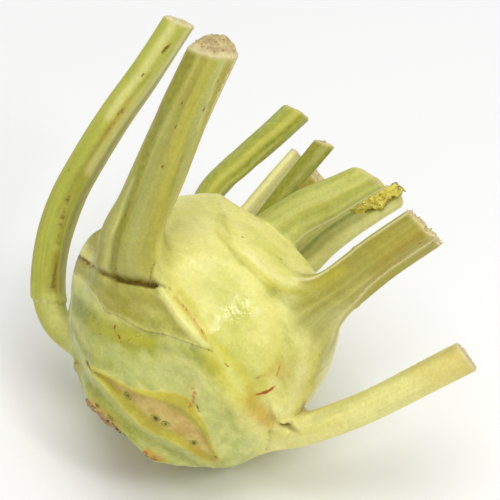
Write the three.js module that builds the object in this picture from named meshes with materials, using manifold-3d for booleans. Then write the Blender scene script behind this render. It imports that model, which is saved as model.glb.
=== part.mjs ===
// A kohlrabi lying on its side: the swollen stem, the stalks left where its
// leaves were cut off, the scar of one older leaf and the corky cut of the root.
// Millimetres. The stem is drawn upright, z along it and x to its front, and the
// whole is laid down at the end with the row's +Z up.
import * as THREE from "three";
import { mergeVertices } from "three/addons/utils/BufferGeometryUtils.js";
import Module from "manifold-3d";

const wasm = await Module();
wasm.setup();

// The swollen stem
const BULB_FRONT = 45;
const BULB_SIDE = 43.2;
const CROWN_HEIGHT = 41;
const ROOT_DEPTH = 41.6;
const CROWN_FULLNESS = 2.5;
const ROOT_FULLNESS = 2.25;
const BULB_DETAIL = 19;
const SHOULDER = { height: 37.5, bowl: 3, bowlWidth: 15 };
const ROOT_CUT_DEPTH = 38.2;
const REST_DEPTH = 43;

// Broad swellings of the stem: the side it rests on, the base of the big front
// leaf, and the rolls round the root.
const LOBES = [
  { azimuth: 140, latitude: -17, height: 1.2, spread: 24 },
  { azimuth: -82, latitude: -1, height: 4.6, spread: 15 },
  { azimuth: 78, latitude: -36, height: 2.2, spread: 20 },
  { azimuth: 64, latitude: -72, height: 2.2, spread: 15 },
];

// How it lies: the stem's heading and lean, and how far it is turned round itself
const STEM_HEADING = 46;
const STEM_LEAN = 64;
const STEM_TURN = -147;

// Leaves follow one another round the stem by the same turn
const LEAF_TURN = 137.5;
const FIRST_LEAF = 20;
const FIT_GAP = 0.35;
const SHARP_WIDTH = 1.6;
const CREASE_DRAW = 4;
const CREASE_PULL = 0.5;
const FOOT_LIMIT = 0.3;
const STALK_SIDES = 20;
const CHANNEL = 0.16;
const MARGIN_RIB = 0.1;
const LOWER_RIB = 0.07;

const FLESH = { color: 0xe3e08f, roughness: 0.42 };
const YOUNG = { color: 0xa9b85c, roughness: 0.48 };
const OLIVE = { color: 0xc2bd6a, roughness: 0.48 };
const PALE = { color: 0xdedd9c, roughness: 0.48 };
const CORK = { color: 0x9a7440, roughness: 0.9 };
const BLADE = { color: 0xb9b53a, roughness: 0.6 };

// Lines on the stem's skin as [azimuth, latitude] in degrees. `ridge` stands up
// along the line (a groove when negative); `step` lifts the left side of it and
// fades out over `reach`.
const CREASES = [
  // the pale shield below the big front stalk
  {
    line: [[-54, 24], [-31, 5], [-21, -1], [-15, -6], [-10, -7.5], [-1, -9], [9, -12]],
    ridge: 1, step: -1.9, width: 1.4, reach: 17,
  },
  {
    line: [[-82, -16], [-56, -21], [-41, -25], [-29, -24], [-17, -23], [-5, -17], [9, -12]],
    ridge: 0.2, step: 0.7, width: 0.9, reach: 10,
  },
  { line: [[-86, -8], [-60, -12], [-47, -13], [-39, -12], [-31, -7], [-26, -3]],
    ridge: -1.3, step: 0.7, width: 1, reach: 7 },
  // the lip below the right-hand stalk
  { line: [[-25, 28], [-10, 25], [-1, 24], [6, 23], [14, 26], [23, 32], [34, 42]],
    ridge: -0.5, step: 1.3, width: 1.3, reach: 14 },
  // soft ridges and valleys between the domes
  { line: [[-63, 55], [-35, 43], [-28, 37], [-19, 30]], ridge: 1, step: 0, width: 3, reach: 1 },
  { line: [[9, -12], [19, -13], [33, -14], [52, -15]], ridge: -1.2, step: 0, width: 3.6, reach: 1 },
  { line: [[16, -27], [27, -24], [37, -22], [57, -18]], ridge: 0.9, step: 0, width: 3, reach: 1 },
  { line: [[46, 26], [56, 13], [62, 1], [65, -9]], ridge: 0.8, step: 0, width: 3.4, reach: 1 },
  // the lip over the foot of the lowest right-hand stalk
  { line: [[44, -15], [53, -13.5], [60, -12], [76, -8]], ridge: 0.4, step: 0.9, width: 1, reach: 8 },
  // the long scar of the oldest leaf and the fold under it
  {
    line: [[-52, -47], [-32, -48], [-18, -47], [-6, -44], [3, -39], [14, -35], [31, -37],
      [56, -39], [80, -38]],
    ridge: 0.5, step: 1.3, width: 1.2, reach: 10,
  },
  {
    line: [[-50, -50], [-35, -53], [-21, -55], [-8, -57], [10, -58], [23, -55], [36, -53],
      [51, -50], [72, -46], [96, -38]],
    ridge: 1, step: -0.9, width: 1.5, reach: 9,
  },
  { line: [[-72, -55], [-52, -64], [-16, -70], [34, -71], [61, -64], [88, -51], [100, -43]],
    ridge: 1.9, step: 0, width: 3.6, reach: 1 },
];

// Shields below the stalks on the far side: their lines run down and meet in a
// point, as below the front one.
const FAR_SHIELDS = [
  { azimuth: 178, latitude: 8, size: 1 },
  { azimuth: 128, latitude: 38, size: 0.8 },
  { azimuth: -124, latitude: -58, size: 0.7 },
];
// Older leaf scars low on the far side
const FAR_SCARS = [
  { azimuth: 155, latitude: -58, halfTurn: 50, height: 8 },
  { azimuth: -98, latitude: -60, halfTurn: 34, height: 8 },
];

// The stalks. `route` runs from inside the stem to the cut end as [out, up, side]
// from the stem's middle, out being the way the leaf's turn points. `wide` is half
// the width at the foot, halfway and the end; `thick` the thickness over the width;
// `cut` how much longer the end is cut at the upper face and at one side, and `crown`
// how far it bulges.
const STALKS = [
  { name: "stalk_1", turn: 1, skin: PALE, wide: [7, 7.2, 6.6], thick: 0.84, foot: 7,
    cut: [1.2, 0], crown: 0.6,
    route: [[25, -22, -8.5], [36, -25, -9], [45, -25, -8], [52.5, -21.5, -5.5], [58.5, -14.5, -2],
      [64.5, -2.5, 3], [68.5, 11.5, 7], [69.5, 25, 11], [69.5, 42, 16], [68, 59, 21.5],
      [66, 79, 30]] },
  { name: "stalk_2", turn: 2, skin: PALE, wide: [7.6, 7.3, 7], thick: 0.84, foot: 7,
    cut: [-0.8, 0], crown: 0.7,
    route: [[29, -12, 2], [36.5, -10.5, -19], [40, -5.5, -27], [43, 1, -32.5], [47, 10.5, -39],
      [50, 20, -45], [53, 30, -50.5], [57, 42, -56]] },
  { name: "stalk_3", turn: 3, skin: OLIVE, wide: [14.5, 9, 8], thick: 0.8, foot: 13,
    cut: [1, 2.2], crown: 5,
    route: [[28, -2, -4], [41, -1, -8], [51, 2, -9], [59.5, 10, -7.5], [69.5, 22, -5.5],
      [82, 38.5, -3.5], [94, 55, -1]] },
  { name: "stalk_4", turn: 4, skin: YOUNG, wide: [8, 5, 3.6], thick: 0.8, foot: 8,
    cut: [-1, 0], crown: 0.5,
    route: [[30, 12, 0], [41, 24, -1], [42, 36, -1], [38, 49, -1], [32, 61, -1], [25, 73, -1.5]] },
  { name: "stalk_5", turn: 5, skin: OLIVE, wide: [13, 8.5, 8.4], thick: 0.78, foot: 12,
    cut: [-1.6, 0], crown: 0.8,
    route: [[29, 14, -3], [35.5, 22.5, -9.5], [40.5, 29, -13], [45, 37, -15.5], [50, 48, -18],
      [58, 63, -21]] },
  { name: "stalk_6", turn: 6, skin: YOUNG, wide: [6.5, 5.7, 6.4], thick: 0.8, foot: 8,
    cut: [1.8, 0], crown: 0.4,
    route: [[20, 26, -10.5], [25.5, 38, -11.5], [25.5, 48.5, -12.5], [24.2, 58, -12.5],
      [22.4, 69, -13], [20.8, 81.5, -13.5]] },
  { name: "stalk_7", turn: 7, skin: YOUNG, wide: [9.5, 7.6, 6], thick: 0.6, foot: 9,
    cut: [1, 0], crown: 0.4,
    route: [[13, 29, -2], [9, 40.5, -7], [8.2, 50.5, -9.3], [9, 60, -11.8], [11, 69, -14.3],
      [13.2, 78.5, -17]] },
  { name: "stalk_8", turn: 8, skin: PALE, wide: [10, 7.2, 5.7], thick: 0.86, foot: 9,
    cut: [-1, 3.2], crown: 0.6,
    route: [[11, 30, -1.5], [19.5, 40, -1], [21.5, 48.5, 1], [21.5, 58, 5], [20.5, 72, 10.5]] },
  { name: "stalk_9", turn: 9, skin: PALE, wide: [4.4, 3.1, 2.7], thick: 0.8, foot: 6,
    cut: [-0.6, 0], crown: 0.3,
    route: [[14, 28, 1], [17, 40, 2], [17, 48, 2.5], [15.5, 58, 4], [13.5, 70, 5.5]] },
  { name: "stalk_10", turn: 11, skin: YOUNG, wide: [4.6, 3.3, 3.4], thick: 0.78, foot: 5,
    cut: [1.4, 0], crown: 0.3,
    route: [[4, 28, -2], [7, 42, -2.5], [8, 54, -2.5], [8, 65, -2.5], [8, 76.5, -2.5]] },
];

const radians = THREE.MathUtils.degToRad;

function onSkin(azimuth, latitude) {
  const a = radians(azimuth);
  const b = radians(latitude);
  return new THREE.Vector3(Math.cos(b) * Math.cos(a), Math.cos(b) * Math.sin(a), Math.sin(b));
}

function smoothRise(t) {
  const s = THREE.MathUtils.clamp(t, 0, 1);
  return s * s * (3 - 2 * s);
}

// ---- the swollen stem ----

function plainRadius(direction) {
  const across = Math.hypot(direction.x / BULB_FRONT, direction.y / BULB_SIDE);
  const isCrown = direction.z > 0;
  const along = Math.abs(direction.z) / (isCrown ? CROWN_HEIGHT : ROOT_DEPTH);
  const power = isCrown ? CROWN_FULLNESS : ROOT_FULLNESS;
  return (across ** power + along ** power) ** (-1 / power);
}

// A crease with its line drawn as a smooth curve over the skin.
function drawnCrease(crease) {
  const points = crease.line.map(([azimuth, latitude]) => {
    const direction = onSkin(azimuth, latitude);
    return direction.multiplyScalar(plainRadius(direction));
  });
  const curve = new THREE.CatmullRomCurve3(points, false, "centripetal");
  return { ...crease, points: curve.getPoints(6 * (points.length - 1)) };
}

function shieldCreases({ azimuth, latitude, size }) {
  const side = (sign) =>
    [[52, 17], [34, 3], [20, -8], [10, -14], [0, -19]].map(([turn, drop]) => [
      azimuth + (sign * turn * size) / Math.cos(radians(latitude + drop * size)),
      latitude + drop * size,
    ]);
  return [
    { line: side(1), ridge: 0.4, step: 1.5, width: 1.2, reach: 13 },
    { line: side(-1), ridge: 0.4, step: -1.5, width: 1.2, reach: 13 },
  ];
}

function scarCreases({ azimuth, latitude, halfTurn, height }) {
  const edge = (sign) =>
    [-1, -0.6, 0, 0.6, 1].map((t) => [
      azimuth + t * halfTurn,
      latitude + 5 * t * t + sign * height * (1 - t * t),
    ]);
  return [
    { line: edge(1), ridge: 0.5, step: 1.2, width: 1.2, reach: 9 },
    { line: edge(-1), ridge: 0.9, step: -0.8, width: 1.5, reach: 8 },
  ];
}

const creases = [
  ...CREASES,
  ...FAR_SHIELDS.flatMap(shieldCreases),
  ...FAR_SCARS.flatMap(scarCreases),
].map(drawnCrease);
const sharpCreases = creases.filter((crease) => crease.width <= SHARP_WIDTH);

// Where a point of the skin lies against a crease.
function placeOnCrease(crease, point) {
  const segment = new THREE.Line3();
  const near = new THREE.Vector3();
  const place = { distance: Infinity, side: 0, along: 0, near: new THREE.Vector3() };
  const last = crease.points.length - 1;
  for (let i = 0; i < last; i++) {
    segment.set(crease.points[i], crease.points[i + 1]);
    const t = segment.closestPointToPointParameter(point, true);
    segment.at(t, near);
    const distance = near.distanceTo(point);
    if (distance < place.distance) {
      place.distance = distance;
      place.along = (i + t) / last;
      place.near.copy(near);
      place.side = Math.sign(near.cross(segment.delta(new THREE.Vector3())).dot(point));
    }
  }
  return place;
}

// How far a crease lifts the skin at a point of it.
function creaseLift(crease, point) {
  const { distance, side, along } = placeOnCrease(crease, point);
  const taper = smoothRise(along * 8) * smoothRise((1 - along) * 8);
  const ridge = crease.ridge * Math.exp(-((distance / crease.width) ** 2));
  const stepSide = side * Math.sign(crease.step || 1);
  const high = smoothRise(1 + (stepSide * distance) / crease.width);
  const fade = smoothRise(1 - distance / crease.reach);
  return taper * (ridge + Math.abs(crease.step) * high * fade);
}

// Corners of the mesh are drawn towards the nearest sharp crease, so that its
// edge runs through them.
function drawnToCrease(direction) {
  const point = direction.clone().multiplyScalar(plainRadius(direction));
  let nearest = { distance: CREASE_DRAW };
  for (const crease of sharpCreases) {
    const place = placeOnCrease(crease, point);
    if (place.distance < nearest.distance) nearest = place;
  }
  if (!nearest.near) return direction;
  const stay = (nearest.distance / CREASE_DRAW) ** CREASE_PULL;
  return point.lerp(nearest.near, 1 - stay).normalize();
}

const feet = STALKS.map((stalk) => {
  const [inner, outer] = [routePoint(stalk, 0), routePoint(stalk, 2)];
  return { line: new THREE.Line3(inner, outer), reach: stalk.foot, halfWidth: stalk.wide[0] };
});

// The skin rises towards the foot of each stalk as a quarter of a parabola.
function footRise(point) {
  const near = new THREE.Vector3();
  let rise = 0;
  for (const foot of feet) {
    foot.line.closestPointToPoint(point, true, near);
    const gap = Math.max(0, near.distanceTo(point) - 0.82 * foot.halfWidth);
    if (gap < foot.reach) {
      const lift = (Math.sqrt(foot.reach) - Math.sqrt(gap)) ** 2;
      rise = Math.max(rise, Math.min(lift, FOOT_LIMIT * foot.reach));
    }
  }
  return rise;
}

const restDirection = new THREE.Vector3(0, 0, -1).applyQuaternion(lyingTurn().invert());
const lobes = LOBES.map((lobe) => ({ ...lobe, middle: onSkin(lobe.azimuth, lobe.latitude) }));

function lobeLift(direction) {
  let lift = 0;
  for (const lobe of lobes) {
    const angle = THREE.MathUtils.radToDeg(direction.angleTo(lobe.middle));
    lift += lobe.height * Math.exp(-((angle / lobe.spread) ** 2));
  }
  return lift;
}

function bulbRadius(direction) {
  const point = direction.clone().multiplyScalar(plainRadius(direction));
  let radius = point.length() + lobeLift(direction);
  for (const crease of creases) radius += creaseLift(crease, point);
  if (direction.z > 0.5) {
    const across = (radius * Math.hypot(direction.x, direction.y)) / SHOULDER.bowlWidth;
    const shoulder = SHOULDER.height - SHOULDER.bowl * Math.exp(-across * across);
    radius = Math.min(radius, shoulder / direction.z);
  }
  radius += footRise(point.setLength(radius));
  if (direction.z < -0.5) radius = Math.min(radius, -ROOT_CUT_DEPTH / direction.z);
  const towardsRest = direction.dot(restDirection);
  if (towardsRest > 0.5) radius = Math.min(radius, REST_DEPTH / towardsRest);
  return radius;
}

function bulbGeometry() {
  const ball = new THREE.IcosahedronGeometry(1, BULB_DETAIL);
  ball.deleteAttribute("normal");
  ball.deleteAttribute("uv");
  const geometry = mergeVertices(ball, 1e-5);
  const position = geometry.getAttribute("position");
  const direction = new THREE.Vector3();
  for (let i = 0; i < position.count; i++) {
    direction.copy(drawnToCrease(direction.fromBufferAttribute(position, i).normalize()));
    direction.multiplyScalar(bulbRadius(direction));
    position.setXYZ(i, direction.x, direction.y, direction.z);
  }
  geometry.computeVertexNormals();
  return geometry;
}

// ---- solids ----

function solidOf(geometry) {
  const bare = geometry.clone();
  bare.deleteAttribute("normal");
  bare.deleteAttribute("uv");
  const merged = mergeVertices(bare, 1e-4);
  return new wasm.Manifold(
    new wasm.Mesh({
      numProp: 3,
      vertProperties: merged.attributes.position.array,
      triVerts: new Uint32Array(merged.index.array),
    }),
  );
}

function geometryOf(solid) {
  const mesh = solid.getMesh();
  const geometry = new THREE.BufferGeometry();
  geometry.setAttribute("position", new THREE.BufferAttribute(mesh.vertProperties, 3));
  geometry.setIndex(new THREE.BufferAttribute(mesh.triVerts, 1));
  geometry.computeVertexNormals();
  return geometry;
}

// The largest piece of a solid that a cut has parted.
function mainPiece(solid) {
  const pieces = solid.decompose();
  return pieces.reduce((best, piece) => (piece.volume() > best.volume() ? piece : best));
}

// The same body a little larger all round, to leave room between two neighbours.
function swollenSolid(geometry, by) {
  const larger = geometry.clone();
  const position = larger.getAttribute("position");
  const normal = larger.getAttribute("normal");
  for (let i = 0; i < position.count; i++) {
    position.setXYZ(
      i,
      position.getX(i) + by * normal.getX(i),
      position.getY(i) + by * normal.getY(i),
      position.getZ(i) + by * normal.getZ(i),
    );
  }
  return solidOf(larger);
}

// ---- the leaf stalks ----

function routePoint(stalk, index) {
  const [out, up, side] = stalk.route[index];
  const azimuth = radians(FIRST_LEAF - LEAF_TURN * stalk.turn);
  return new THREE.Vector3(
    out * Math.cos(azimuth) - side * Math.sin(azimuth),
    out * Math.sin(azimuth) + side * Math.cos(azimuth),
    up,
  );
}

// Half the width at a share of the way along.
function halfWidth(stalk, share) {
  const [foot, middle, end] = stalk.wide;
  if (share < 0.45) return foot + (middle - foot) * smoothRise(share / 0.45);
  return middle + (end - middle) * smoothRise((share - 0.45) / 0.55);
}

// A point of the stalk's outline: a shallow channel above between two margins, and
// a broad face below between two ribs.
function sectionPoint(angle) {
  const x = Math.cos(angle);
  const bump = (middle, width) => Math.exp(-(((Math.abs(x) - middle) / width) ** 2));
  if (Math.sin(angle) > 0) {
    return [x, 0.8 * Math.sin(angle) - CHANNEL * bump(0, 0.45) + MARGIN_RIB * bump(0.86, 0.14)];
  }
  const face = 1 + LOWER_RIB * bump(0.62, 0.2) - LOWER_RIB * bump(0, 0.35);
  return [x * face, Math.sin(angle) * face];
}

function ringFrame(curve, share, inward) {
  const tangent = curve.getTangentAt(share);
  const upper = inward.clone().addScaledVector(tangent, -inward.dot(tangent)).normalize();
  return { tangent, upper, across: new THREE.Vector3().crossVectors(upper, tangent) };
}

function stalkGeometry(stalk) {
  const route = stalk.route.map((_, index) => routePoint(stalk, index));
  const curve = new THREE.CatmullRomCurve3(route, false, "centripetal");
  const azimuth = radians(FIRST_LEAF - LEAF_TURN * stalk.turn);
  const inward = new THREE.Vector3(-Math.cos(azimuth), -Math.sin(azimuth), 1).normalize();
  const rings = Math.round(THREE.MathUtils.clamp(curve.getLength() / 6, 10, 20));
  const points = [];
  for (let ring = 0; ring <= rings; ring++) {
    const share = ring / rings;
    const frame = ringFrame(curve, share, inward);
    const centre = curve.getPointAt(share);
    const half = halfWidth(stalk, share);
    for (let side = 0; side < STALK_SIDES; side++) {
      const [x, y] = sectionPoint((side / STALK_SIDES) * 2 * Math.PI);
      const point = centre
        .clone()
        .addScaledVector(frame.across, x * half)
        .addScaledVector(frame.upper, y * half * stalk.thick);
      if (ring === rings) {
        point.addScaledVector(frame.tangent, stalk.cut[0] * y + stalk.cut[1] * x);
      }
      points.push(flaredPoint(stalk, centre, point));
    }
  }
  const start = curve.getPointAt(0);
  const end = curve.getPointAt(1).addScaledVector(curve.getTangentAt(1), stalk.crown);
  points.push(...domeRing(points.slice(-STALK_SIDES), curve.getPointAt(1), end));
  return loft(points, STALK_SIDES, start, end);
}

// A ring between the rim of the cut and its middle, rounding the end over.
function domeRing(rim, centre, end) {
  return rim.map((point, side) =>
    point
      .clone()
      .lerp(centre, 0.3)
      .addScaledVector(end.clone().sub(centre), 0.72 + 0.1 * Math.sin(5 * side)),
  );
}

// Near the stem the stalk widens to meet the rise of the skin.
function flaredPoint(stalk, centre, point) {
  const height = point.length() - plainRadius(point.clone().normalize());
  if (height >= stalk.foot) return point;
  const low = Math.max(height, FOOT_LIMIT * stalk.foot);
  const flare = (Math.sqrt(stalk.foot) - Math.sqrt(low)) ** 2;
  const outward = point.clone().sub(centre).normalize();
  return point.addScaledVector(outward, flare);
}

// A closed body through rings of points, with a point closing each end.
function loft(points, sides, start, end) {
  const corners = points.flatMap((point) => point.toArray());
  corners.push(...start.toArray(), ...end.toArray());
  const rings = points.length / sides;
  const first = points.length;
  const last = first + 1;
  const faces = [];
  for (let side = 0; side < sides; side++) {
    const next = (side + 1) % sides;
    faces.push(first, next, side);
    faces.push(last, (rings - 1) * sides + side, (rings - 1) * sides + next);
    for (let ring = 0; ring < rings - 1; ring++) {
      const a = ring * sides + side;
      const b = ring * sides + next;
      faces.push(a, b, b + sides, a, b + sides, a + sides);
    }
  }
  const geometry = new THREE.BufferGeometry();
  geometry.setAttribute("position", new THREE.Float32BufferAttribute(corners, 3));
  geometry.setIndex(faces);
  return geometry;
}

// ---- the growing tip ----

const BUD = { azimuth: 190, across: 7, base: 32, radius: 3.2, tall: 11, folds: 3, fold: 0.22 };

// A small pointed bud of folded young leaves between the innermost stalks.
function budGeometry() {
  const { azimuth, across, base, radius, tall, folds, fold } = BUD;
  const sides = 18;
  const turn = radians(azimuth);
  const foot = new THREE.Vector3(across * Math.cos(turn), across * Math.sin(turn), base);
  const points = [];
  for (const [rise, share] of [[0, 1], [0.25, 1.12], [0.5, 1], [0.72, 0.74], [0.9, 0.4]]) {
    for (let side = 0; side < sides; side++) {
      const angle = (side / sides) * 2 * Math.PI;
      const reach = radius * share * (1 + fold * Math.sin(folds * angle + 4 * rise));
      points.push(
        new THREE.Vector3(reach * Math.cos(angle), reach * Math.sin(angle), rise * tall).add(foot),
      );
    }
  }
  return loft(points, sides, foot, new THREE.Vector3(0, 0, tall).add(foot));
}

// ---- the corky root cut ----

const ROOT_CUT = { radius: 16.5, thick: 3, hollow: 1.2, bevel: 0.8, lobes: 0.5 };

function rootCutGeometry() {
  const { radius, thick, hollow, bevel, lobes } = ROOT_CUT;
  const sides = 36;
  const top = -ROOT_CUT_DEPTH - FIT_GAP;
  const points = [];
  for (const [share, drop] of [[1, 0], [1.03, 0.4], [1, 0.85], [0.9, 1], [0.45, 0.8]]) {
    for (let side = 0; side < sides; side++) {
      const angle = (-side / sides) * 2 * Math.PI;
      const wave = lobes * (Math.sin(3 * angle + 1) + 0.6 * Math.sin(7 * angle));
      const reach = (radius - (drop === 0 ? bevel : 0)) * share + wave * share;
      points.push(
        new THREE.Vector3(reach * Math.cos(angle), reach * Math.sin(angle), top - drop * thick),
      );
    }
  }
  const start = new THREE.Vector3(0, 0, top);
  const end = new THREE.Vector3(0, 0, top - thick + hollow);
  return loft(points, sides, start, end);
}

// ---- the scrap of leaf blade left on one stalk ----

const BLADE_SCRAP = { thick: 0.9, long: 18, wide: 8, steps: 14, rows: 5, frill: 0.9 };

function bladeScrapGeometry(stalk) {
  const { thick, long, wide, steps, rows, frill } = BLADE_SCRAP;
  const last = stalk.route.length - 1;
  const end = routePoint(stalk, last);
  const along = end.clone().sub(routePoint(stalk, last - 1)).normalize();
  const azimuth = radians(FIRST_LEAF - LEAF_TURN * stalk.turn);
  const inward = new THREE.Vector3(-Math.cos(azimuth), -Math.sin(azimuth), 1);
  const upper = inward.addScaledVector(along, -inward.dot(along)).normalize();
  const across = new THREE.Vector3().crossVectors(upper, along);
  const sheet = (layer) => {
    const points = [];
    for (let i = 0; i <= steps; i++) {
      for (let j = 0; j <= rows; j++) {
        const u = i / steps;
        const v = j / rows;
        const edge = wide * (0.55 + 0.45 * Math.sin(Math.PI * (0.1 + 0.8 * u)));
        const wave = frill * (1 - v) * Math.sin(11 * u + 2 * v) - 1.5 * (1 - v) ** 2;
        points.push(
          end
            .clone()
            .addScaledVector(along, (u - 0.88) * long)
            .addScaledVector(upper, stalk.wide[2] * stalk.thick + 0.9 + wave + layer * thick)
            .addScaledVector(across, (v - 0.85) * edge - 3.4 * (u - 0.4)),
        );
      }
    }
    return points;
  };
  return slab(sheet(0), sheet(1), steps, rows);
}

// A closed body between two grids of points.
function slab(under, over, steps, rows) {
  const corners = [...under, ...over].flatMap((point) => point.toArray());
  const offset = under.length;
  const at = (i, j) => i * (rows + 1) + j;
  const faces = [];
  const quad = (a, b, c, d) => faces.push(a, b, c, a, c, d);
  for (let i = 0; i < steps; i++) {
    for (let j = 0; j < rows; j++) {
      const [a, b, c, d] = [at(i, j), at(i + 1, j), at(i + 1, j + 1), at(i, j + 1)];
      quad(d, c, b, a);
      quad(a + offset, b + offset, c + offset, d + offset);
    }
  }
  for (let i = 0; i < steps; i++) {
    quad(at(i, 0), at(i + 1, 0), at(i + 1, 0) + offset, at(i, 0) + offset);
    quad(at(i + 1, rows), at(i, rows), at(i, rows) + offset, at(i + 1, rows) + offset);
  }
  for (let j = 0; j < rows; j++) {
    quad(at(0, j + 1), at(0, j), at(0, j) + offset, at(0, j + 1) + offset);
    quad(at(steps, j), at(steps, j + 1), at(steps, j + 1) + offset, at(steps, j) + offset);
  }
  const geometry = new THREE.BufferGeometry();
  geometry.setAttribute("position", new THREE.Float32BufferAttribute(corners, 3));
  geometry.setIndex(faces);
  return geometry;
}

// ---- putting it together ----

function lyingTurn() {
  const heading = new THREE.Matrix4().makeRotationZ(radians(STEM_HEADING));
  const lean = new THREE.Matrix4().makeRotationY(radians(STEM_LEAN));
  const turn = new THREE.Matrix4().makeRotationZ(radians(STEM_TURN));
  return new THREE.Quaternion().setFromRotationMatrix(heading.multiply(lean).multiply(turn));
}

function named(name, geometry, skin) {
  const mesh = new THREE.Mesh(
    geometry,
    new THREE.MeshStandardMaterial({ ...skin, metalness: 0 }),
  );
  mesh.name = name;
  return mesh;
}

const kohlrabi = new THREE.Group();
kohlrabi.name = "kohlrabi";
const stem = new THREE.Group();
stem.name = "stem";
kohlrabi.add(stem);

const bulb = bulbGeometry();
stem.add(named("bulb", bulb, FLESH));
stem.add(named("root_cut", rootCutGeometry(), CORK));

const bulbRoom = swollenSolid(bulb, FIT_GAP);
for (const stalk of STALKS) {
  const cut = mainPiece(solidOf(stalkGeometry(stalk)).subtract(bulbRoom));
  stem.add(named(stalk.name, geometryOf(cut), stalk.skin));
}
const bud = mainPiece(solidOf(budGeometry()).subtract(bulbRoom));
stem.add(named("crown_bud", geometryOf(bud), YOUNG));
const scrapStalk = STALKS.find((stalk) => stalk.name === "stalk_7");
stem.add(named("blade_scrap", bladeScrapGeometry(scrapStalk), BLADE));

// Laid down with the middle of the flat spot at the row's origin.
stem.quaternion.copy(lyingTurn());
stem.position.set(0, 0, REST_DEPTH);

export default kohlrabi;
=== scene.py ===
# A kohlrabi lying on its side: the swollen stem, its cut leaf stalks, the young
# crown between them and the corky root cut.
import math
import bpy
import numpy as np
from mathutils import Matrix, Vector


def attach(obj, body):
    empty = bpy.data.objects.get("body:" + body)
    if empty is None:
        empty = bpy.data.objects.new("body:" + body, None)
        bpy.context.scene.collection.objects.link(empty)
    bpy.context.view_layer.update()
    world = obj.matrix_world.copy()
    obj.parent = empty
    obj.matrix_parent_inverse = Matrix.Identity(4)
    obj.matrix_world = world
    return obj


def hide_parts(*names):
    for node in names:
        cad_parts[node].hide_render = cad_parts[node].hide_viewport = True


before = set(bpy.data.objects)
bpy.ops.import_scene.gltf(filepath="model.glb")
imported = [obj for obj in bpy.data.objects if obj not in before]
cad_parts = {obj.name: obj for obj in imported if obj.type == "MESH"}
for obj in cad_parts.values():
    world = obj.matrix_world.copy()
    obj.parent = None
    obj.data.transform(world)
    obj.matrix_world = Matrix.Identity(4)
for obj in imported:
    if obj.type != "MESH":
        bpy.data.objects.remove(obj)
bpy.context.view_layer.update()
print("frame loaded", len(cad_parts), "nodes")

mm = 0.001
dice = np.random.default_rng(20)

# how it lies, and small helpers

lying = {"heading": 46, "lean": 64, "turn": -147, "height": 43}


def turnMatrix(axis, degrees):
    return np.array(Matrix.Rotation(math.radians(degrees), 3, axis))


stemToRow = (
    turnMatrix("Z", lying["heading"])
    @ turnMatrix("Y", lying["lean"])
    @ turnMatrix("Z", lying["turn"])
)


def laidDown(points):
    # from the upright stem in millimetres to the row frame in metres
    return (points @ stemToRow.T + np.array([0, 0, lying["height"]])) * mm


def smoothRise(t):
    s = np.clip(t, 0, 1)
    return s * s * (3 - 2 * s)


def bell(t):
    return np.exp(-(t**2))


def unit(vectors):
    return vectors / np.linalg.norm(vectors, axis=-1, keepdims=True)


def onSkin(azimuth, latitude):
    a, b = np.radians(azimuth), np.radians(latitude)
    return np.stack([np.cos(b) * np.cos(a), np.cos(b) * np.sin(a), np.sin(b)], axis=-1)


def smoothCurve(points, perSpan):
    # centripetal Catmull-Rom through the points
    points = np.asarray(points, float)
    ends = [2 * points[0] - points[1], *points, 2 * points[-1] - points[-2]]
    drawn = []
    for i in range(1, len(points)):
        p0, p1, p2, p3 = ends[i - 1 : i + 3]
        d0, d1, d2 = (max(np.linalg.norm(b - a) ** 0.5, 1e-4) for a, b in ((p0, p1), (p1, p2), (p2, p3)))
        m1 = ((p1 - p0) / d0 - (p2 - p0) / (d0 + d1) + (p2 - p1) / d1) * d1
        m2 = ((p2 - p1) / d1 - (p3 - p1) / (d1 + d2) + (p3 - p2) / d2) * d1
        t = np.arange(perSpan)[:, None] / perSpan
        drawn.append(
            p1 + m1 * t + (-3 * p1 + 3 * p2 - 2 * m1 - m2) * t**2 + (2 * p1 - 2 * p2 + m1 + m2) * t**3
        )
    return np.concatenate([*drawn, points[-1:]])


class Lumps:
    # smooth three-dimensional unevenness with a given size of lump
    def __init__(self, size, height, waves=14):
        headings = unit(dice.normal(size=(waves, 3)))
        self.waves = headings * (2 * np.pi / size) * dice.uniform(0.7, 1.4, (waves, 1))
        self.phases = dice.uniform(0, 2 * np.pi, waves)
        self.height = height * (2 / waves) ** 0.5

    def at(self, points):
        return self.height * np.sin(points @ self.waves.T + self.phases).sum(axis=1)


# the swollen stem's skin

bulb = {
    "front": 45, "side": 43.2, "crownHeight": 41, "rootDepth": 41.6,
    "crownFullness": 2.5, "rootFullness": 2.25,
    "shoulder": 38.0, "bowl": 3, "bowlWidth": 15, "edge": 0.7,
    "rootCut": 38.2, "dish": 14.4, "dishWall": 1.6, "rimRise": 9,
    "detail": 88, "frontCrowding": 0.2, "gridStep": 0.4, "drawn": 1.1,
}

# broad swellings: azimuth, latitude, height and spread in degrees
lobes = [
    (12, -68, 1.3, 15), (140, -17, 1.2, 24), (-82, -1, 4.7, 15), (-79, -16, 1.5, 11), (-85, -54, -2.6, 12),
    (78, -36, 2.2, 20), (64, -72, 2.2, 15), (-62, 49, 1.2, 10), (60, 19, -1.2, 9), (-104, -56, -1.4, 12),
]

def crease(ridge, width, *line, step=0, reach=1, **more):
    # a ridge along a line of (azimuth, latitude), and a step to one side that fades over the reach
    return dict(line=line, ridge=ridge, step=step, width=width, reach=reach, **more)


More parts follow.
